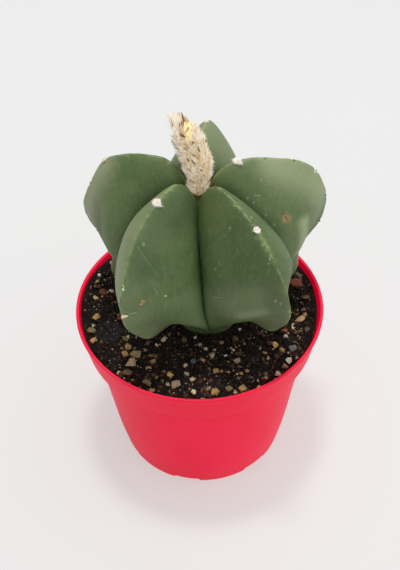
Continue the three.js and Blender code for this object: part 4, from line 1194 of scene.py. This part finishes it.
# The scales whose dark tips stand clear of the wool: [share of the tube's length, angle round it].
DARK_SCALES = [
    [0.93, 170], [0.9, 186], [0.86, 178], [0.77, -101], [0.79, -92], [0.66, -84], [0.61, -108],
    [0.58, -92], [0.72, -124], [0.69, -60], [0.47, -74], [0.83, -66], [0.5, -116], [0.87, -166],
    [0.91, -152], [0.83, -156], [0.87, -138], [0.78, -148],
]


def tube_frame(t):
    """The tube's middle, radius, and directions along it, right and back at a share of its length."""
    t = np.asarray(t, float)
    row = through(TUBE, t)
    along = through(TUBE, t + 0.004)[..., :3] - through(TUBE, t - 0.004)[..., :3]
    along /= np.linalg.norm(along, axis=-1)[..., None]
    right = np.cross([0.0, 1.0, 0.0], along)
    right /= np.linalg.norm(right, axis=-1)[..., None]
    return row[..., :3], row[..., 3:], along, right, np.cross(along, right)


def tube_point(t, angle, proud=0.0):
    """A point of the tube's side, raised over it by proud."""
    middle, radius, _, right, back = tube_frame(t)
    angle = np.asarray(angle, float)[..., None]
    return middle + (radius + np.asarray(proud)[..., None]) * (np.cos(angle) * right + np.sin(angle) * back)


dry_skin = tinted_finish("dry_tube", paint(176, 144, 98), 0.7, 0.5, Roughness=0.9, Emission_Strength=0.12)
angles = 2 * np.pi * np.arange(TUBE_SIDES) / TUBE_SIDES
rings = []
for t, radius in ((1 - SOCKET_DEPTH, SOCKET_RADIUS), (1.0, SOCKET_RADIUS)):
    rings.append(tube_point(t, angles, radius - tube_frame(t)[1][0]))
for t in np.linspace(1, 0, TUBE_RINGS):
    folds = 0.16 * np.sin(7 * angles + 3 * t) + 0.1 * np.sin(13 * angles - 5 * t)
    rings.append(tube_point(t, angles, (folds - UNDER_WOOL) * min(1, 6 * (1 - t) + 0.2)))
places = np.vstack(rings + [[rings[0].mean(0), rings[-1].mean(0)]])
parts = [(places, ring_faces(rings), paint(230, 208, 166))]
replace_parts(tinted("flower_tube_skin", parts, dry_skin, "dry_wool"), "flower_tube")


def blade(middles, asides, widths, thickness):
    """A closed narrow leaf: points and faces round a line of middles, pointed at its far end."""
    middles, asides = np.asarray(middles, float), np.asarray(asides, float)
    along = np.gradient(middles, axis=0)
    lift = np.cross(asides, along)
    lift /= np.linalg.norm(lift, axis=1)[:, None]
    half = 0.5 * np.asarray(widths, float)[:, None]
    thick = 0.5 * thickness * lift
    wide = half * asides
    rings = np.stack([middles + wide, middles + thick, middles - wide, middles - thick], 1)
    return np.vstack([rings.reshape(-1, 3), middles[:1], middles[-1:]]), ring_faces(rings)


scale_paper = tinted_finish("dry_scale", paint(60, 36, 22), 0.4, 0.35, Roughness=0.8)
spread = np.random.default_rng(7)
spots = [[t, math.radians(angle), 1.0] for t, angle in DARK_SCALES]
for row in range(SCALE_ROWS):
    for number in range(SCALES_A_ROW):
        angle = 2 * np.pi * (number + 0.38 * row) / SCALES_A_ROW + spread.uniform(-0.15, 0.15)
        t = 0.1 + 0.86 * row / (SCALE_ROWS - 1) + spread.uniform(-0.025, 0.025)
        spots.append([t, angle, 0.7 * spread.uniform() ** 5])
steps = np.linspace(0, 1, 6)
parts = []
for t, angle, dark in spots:
    way = np.minimum(t - 0.03 + spread.uniform(0.06, 0.1) * steps, 1.0)
    tip = 0.75 + 0.25 * dark
    turn = spread.uniform(0.0, 0.16)
    proud = 0.65 * dark - UNDER_WOOL + tip * steps ** 1.3
    middles = tube_point(way, angle + turn * (0.5 - steps), proud)
    _, _, along, right, back = tube_frame(t)
    aside = np.cos(angle) * back - np.sin(angle) * right
    widths = (1 + 0.5 * dark) * spread.uniform(0.26, 0.38) * np.array([0.8, 1.0, 0.9, 0.7, 0.45, 0.05])
    shades = np.repeat(dark * np.array([0.1, 0.4, 0.9, 1.0, 1.0, 1.0]), 4)
    shades = np.append(shades, [0.0, dark])[:, None]
    tints = (1 - shades) * paint(206, 174, 130) + shades * np.array(paint(62, 34, 24))
    parts.append((*blade(middles, np.tile(aside, (6, 1)), widths, 0.14), tints))
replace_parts(tinted("flower_scales", parts, scale_paper, "dry_wool"), "flower_tube")

# Wool covers the tube in matted locks, grown from its skin, and is drawn out in tassels round the mouth,
# mostly on the left. A tassel's row is [root, way, hairs, spread at the root].
TASSELS = [
    [(-5.0, 6.0, 134.0), (-1.9, 2.6, 3.2), 200, 0.9], [(-5.8, 7.2, 135.6), (-1.6, 2.3, 2.4), 170, 0.75],
    [(-4.8, 8.0, 135.2), (-1.1, 2.0, 3.0), 150, 0.8], [(-6.4, 8.3, 136.5), (-1.2, 1.7, 1.8), 110, 0.6],
    [(-5.4, 4.6, 133.8), (-1.0, 1.4, 2.4), 120, 0.6], [(-0.6, 7.0, 133.2), (0.5, 0.8, 2.0), 120, 0.9],
    [(0.6, 4.6, 131.8), (1.0, 0.1, 1.4), 90, 0.9],
]
WOOL_COUNT = 9500
WOOL_LOCKS = 760
# How far a lock's hairs rise along the tube, stand off and slant, how long and how pale they are.
LOCK_RANGES = [(0.2, 1.0), (0.2, 1.2), (-0.7, 0.7), (0.8, 1.8), (0, 1.6)]
lock = spread.integers(0, WOOL_LOCKS, WOOL_COUNT)
stray = np.where(spread.uniform(0, 1, WOOL_COUNT) < 0.25, 5.0, 1.0)
t = spread.uniform(0.03, 1.0, WOOL_LOCKS)[lock] ** 0.9
t = np.clip(t + stray * spread.normal(0, 0.008, WOOL_COUNT), 0.02, 1)
angle = spread.uniform(0, 2 * np.pi, WOOL_LOCKS)[lock] + stray * spread.normal(0, 0.06, WOOL_COUNT)
_, _, along, right, back = tube_frame(t)
outwards = np.cos(angle)[:, None] * right + np.sin(angle)[:, None] * back
draws = [spread.uniform(low, high, WOOL_LOCKS)[lock] for low, high in LOCK_RANGES]
rising, standing, aslant, length, pale = draws
ways = rising[:, None] * along + standing[:, None] * outwards + aslant[:, None] * np.cross(along, outwards)
ways += spread.normal(0, 0.14, (WOOL_COUNT, 3)) * stray[:, None] ** 0.5
lengths = length * spread.uniform(0.8, 1.1, WOOL_COUNT)
lengths = lengths * np.clip(0.3 + 6 * t, 0.3, 1) * (1 + 0.5 * hump(t, 0.15, 0.05))
pale = np.minimum(pale, 1) * np.clip(8 * t - 0.2, 0, 1)
strands = [(tube_point(t, angle, np.full(WOOL_COUNT, -UNDER_WOOL - 0.05)), ways, lengths, pale)]
for root, way, hair_count, width in TASSELS:
    foots = np.array(root) + spread.normal(0, 0.45 * width, (hair_count, 3))
    ways = np.array(way) / np.linalg.norm(way) + spread.normal(0, 0.3, (hair_count, 3))
    lengths = np.linalg.norm(way) * spread.uniform(0.4, 1.0, hair_count)
    strands.append((foots, ways, lengths, spread.uniform(0.6, 1.0, hair_count)))
roots, ways, lengths, pale = (np.concatenate(rows) for rows in zip(*strands))
places, faces, each = hairs(roots, ways, lengths, 0.13, 0.45, spread)
tints = (1 - pale[:, None]) * paint(228, 202, 150) + pale[:, None] * np.array(paint(255, 251, 242))
fleece = piece("flower_wool", places, faces, wool, "dry_wool")
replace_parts(with_tints(fleece, np.repeat(tints, each, axis=0)), "flower_tube")

# The withered petals stand in the tube's mouth as a crumpled bundle: thin dry leaves, straw yellow to
# brown, stuck together where they dried. Their feet sit in the mouth's socket or on the tube's rim.
YELLOW = paint(248, 226, 164)
STRAW = paint(252, 232, 186)
PALE_DRY = paint(248, 238, 220)
DRY_BROWN = paint(214, 176, 150)
STYLE_BROWN = paint(134, 82, 66)
DARK_BROWN = paint(76, 42, 34)
# A petal's row: [foot, tip, width, bulge, colour, how far its edges have browned].
PETALS = [
    [(-2.0, 1.3, 133.2), (-3.0, 5.3, 137.7), 2.1, 0.6, YELLOW, 0.2],
    [(-0.9, 1.8, 133.0), (-2.1, 6.0, 137.2), 2.3, 0.5, YELLOW, 0.05],
    [(0.2, 3.4, 132.4), (-1.7, 6.8, 136.6), 2.8, 0.3, STRAW, 0.0],
    [(0.0, 6.6, 132.6), (-2.2, 7.8, 137.0), 2.8, 0.3, STRAW, 0.1],
    [(-1.8, 8.6, 132.8), (-3.0, 8.6, 137.4), 2.6, 0.3, PALE_DRY, 0.2],
    [(-3.6, 1.9, 133.4), (-4.2, 4.9, 137.2), 1.6, 0.5, DRY_BROWN, 0.5],
    [(-4.8, 2.8, 133.2), (-5.8, 5.8, 136.6), 1.8, 0.4, PALE_DRY, 0.3],
    [(-5.8, 4.2, 133.2), (-7.4, 7.4, 136.8), 2.0, 0.3, PALE_DRY, 0.25],
    [(-6.0, 6.2, 133.2), (-8.0, 9.0, 137.4), 2.0, 0.3, STRAW, 0.35],
    [(-5.2, 7.9, 133.2), (-6.8, 10.0, 137.6), 2.2, 0.3, PALE_DRY, 0.2],
    [(-3.8, 8.6, 133.0), (-4.9, 9.4, 138.2), 2.0, 0.4, STRAW, 0.3],
    [(-3.2, 5.4, 133.6), (-3.6, 6.4, 138.6), 2.0, 0.3, STRAW, 0.4],
]
# Dried stamens and the style among the petals: [foot, tip, width]. The widest, the style, is paler.
STYLE_WIDTH = 0.84
BUNDLE_MIDDLE = (-3.3, 5.7, 135.0)
STAMENS = [
    [(-1.9, 3.7, 136.9), (-3.0, 1.9, 135.9), 0.34], [(-3.2, 1.2, 135.0), (-3.7, 1.7, 135.9), 0.8],
    [(-3.9, 1.9, 134.8), (-4.2, 2.6, 135.8), 0.6], [(-4.2, 4.2, 136.4), (-4.6, 5.0, 137.4), 0.6],
    [(-3.9, 4.8, 136.9), (-4.0, 5.4, 137.7), 0.5], [(-6.5, 6.2, 135.4), (-7.3, 7.7, 137.6), 0.35],
    [(-2.9, 5.0, 135.4), (-3.7, 6.3, 140.4), 0.85],
]


def petal(foot, tip, width, bulge, colour, browned, number):
    """A crumpled dry leaf from foot to tip, as a thin closed sheet: points, faces and tints."""
    foot, tip = np.array(foot), np.array(tip)
    lean = (tip - foot) / np.linalg.norm(tip - foot)
    outwards = (foot + tip) / 2 - BUNDLE_MIDDLE
    outwards -= lean * (outwards @ lean)
    outwards /= np.linalg.norm(outwards)
    across = np.cross(lean, outwards)
    rows, columns = 18, 9
    grid = np.zeros((rows, columns, 3))
    shades = np.zeros((rows, columns))
    for row in range(rows):
        s = row / (rows - 1)
        spine = foot + (tip - foot) * s + outwards * bulge * math.sin(math.pi * s)
        half = 0.5 * width * math.sin(math.pi * (0.18 + 0.8 * s)) ** 0.8
        for column in range(columns):
            u = 2 * column / (columns - 1) - 1
            crumple = 0.35 * noise.noise(Vector((u * 1.2, s * 4, number)))
            crumple += 0.15 * noise.noise(Vector((u * 3, s * 9, number)))
            grid[row, column] = spine + across * half * u + outwards * (crumple - 0.4 * half * u * u)
            blotch = 2.4 * noise.noise(Vector((u * 2, s * 4, number + 5)))
            shades[row, column] = browned * (2.0 * (abs(u) - 0.6) + 1.2 * (s - 0.8) + blotch)
    face = np.cross(np.gradient(grid, axis=1), np.gradient(grid, axis=0))
    face /= np.linalg.norm(face, axis=2)[..., None]
    places = np.concatenate([(grid + 0.05 * face).reshape(-1, 3), (grid - 0.05 * face).reshape(-1, 3)])
    size = rows * columns
    quads = []
    for row in range(rows - 1):
        for column in range(columns - 1):
            a = row * columns + column
            b, c, d = a + 1, a + columns + 1, a + columns
            quads += [[a, b, c, d], [size + d, size + c, size + b, size + a]]
    border = list(range(columns))
    border += [row * columns + columns - 1 for row in range(1, rows)]
    border += [(rows - 1) * columns + column for column in range(columns - 2, -1, -1)]
    border += [row * columns for row in range(rows - 2, 0, -1)]
    for here, after in zip(border, border[1:] + border[:1]):
        quads.append([after, here, size + here, size + after])
    shade = np.tile(np.clip(shades, 0, 1).reshape(-1, 1), (2, 1))
    tint = (1 - shade) * np.array(colour) + shade * np.array(DARK_BROWN)
    return places, quads, tint


dry_petal = tinted_finish("dry_petal", paint(238, 206, 146), 0.7, 0.25, Roughness=0.6,
                          Emission_Strength=0.1)
parts = [petal(*row, number) for number, row in enumerate(PETALS)]
steps = np.linspace(0, 1, 12)[:, None]
for number, (foot, tip, width) in enumerate(STAMENS):
    line = np.array(foot) + steps * (np.array(tip) - foot)
    line[:, 0] += 0.12 * np.sin(5 * steps[:, 0] + number)
    widths = width * (1 - 0.7 * steps[:, 0] ** 2)
    thread = blade(line, np.tile([1.0, 0.0, 0.1], (12, 1)), widths, 0.6 * width)
    parts.append((*thread, DARK_BROWN if width < STYLE_WIDTH else STYLE_BROWN))
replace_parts(tinted("flower_petals_dry", parts, dry_petal, "dry_petal"), "flower_petals")

# The room: a plain pale floor in soft white light from all round, about twice as strong from the right,
# under one soft lamp overhead, and a camera as far off and as steep as the photograph's.
floor_mesh = bpy.data.meshes.new("floor")
floor_mesh.from_pydata([(-4, -4, 0), (4, -4, 0), (4, 4, 0), (-4, 4, 0)], [], [(0, 1, 2, 3)])
floor = bpy.data.objects.new("floor", floor_mesh)
bpy.context.scene.collection.objects.link(floor)
pale, shader, place = finish_named("pale_floor", Roughness=0.95, Specular_IOR_Level=0.1,
                                   Emission_Strength=0.44)
wear(shader, "Base Color", mixed(mottle(place, 60.0), paint(166, 167, 166), paint(168, 169, 168)))
shader.inputs["Emission Color"].default_value = (1.0, 1.0, 1.0, 1.0)
floor_mesh.materials.append(pale)

sky = bpy.data.worlds.new("white_room")
sky.use_nodes = True
backdrop = sky.node_tree.nodes["Background"]
way = Signal(sky.node_tree, sky.node_tree.nodes.new("ShaderNodeTexCoord").outputs["Generated"])
rightward = way.node("ShaderNodeSeparateXYZ", {}, {0: way}, 0)
glow = mixed(rise(rightward, -1.0, 1.0), (0.49, 0.49, 0.49, 1.0), (1.1, 1.1, 1.1, 1.0))
wear(backdrop, "Color", glow)
backdrop.inputs["Strength"].default_value = 0.93
bpy.context.scene.world = sky
lamp = bpy.data.lights.new("overhead", "AREA")
lamp.shape = "DISK"
lamp.size = 0.15
lamp.energy = 3.4
light = bpy.data.objects.new("overhead", lamp)
light.location = (-0.02, 0.05, 1.0)
bpy.context.scene.collection.objects.link(light)

PHOTO_HEIGHT_PX = 570
FOCAL_PX = 1020.8
PITCH, YAW, ROLL = 0.8, 0.0014, -0.025
CAMERA_PLACE = (0, -0.2405, 0.3211)
eye = bpy.data.cameras.new("eye")
eye.sensor_width = 36.0
eye.lens = FOCAL_PX / PHOTO_HEIGHT_PX * eye.sensor_width
camera = bpy.data.objects.new("camera", eye)
turn = Matrix.Rotation(-YAW, 4, "Z") @ Matrix.Rotation(math.pi / 2 - PITCH, 4, "X")
turn = turn @ Matrix.Rotation(ROLL, 4, "Z")
camera.matrix_world = Matrix.Translation(CAMERA_PLACE) @ turn
bpy.context.scene.collection.objects.link(camera)
bpy.context.scene.camera = camera
bpy.context.scene.view_settings.view_transform = "Standard"
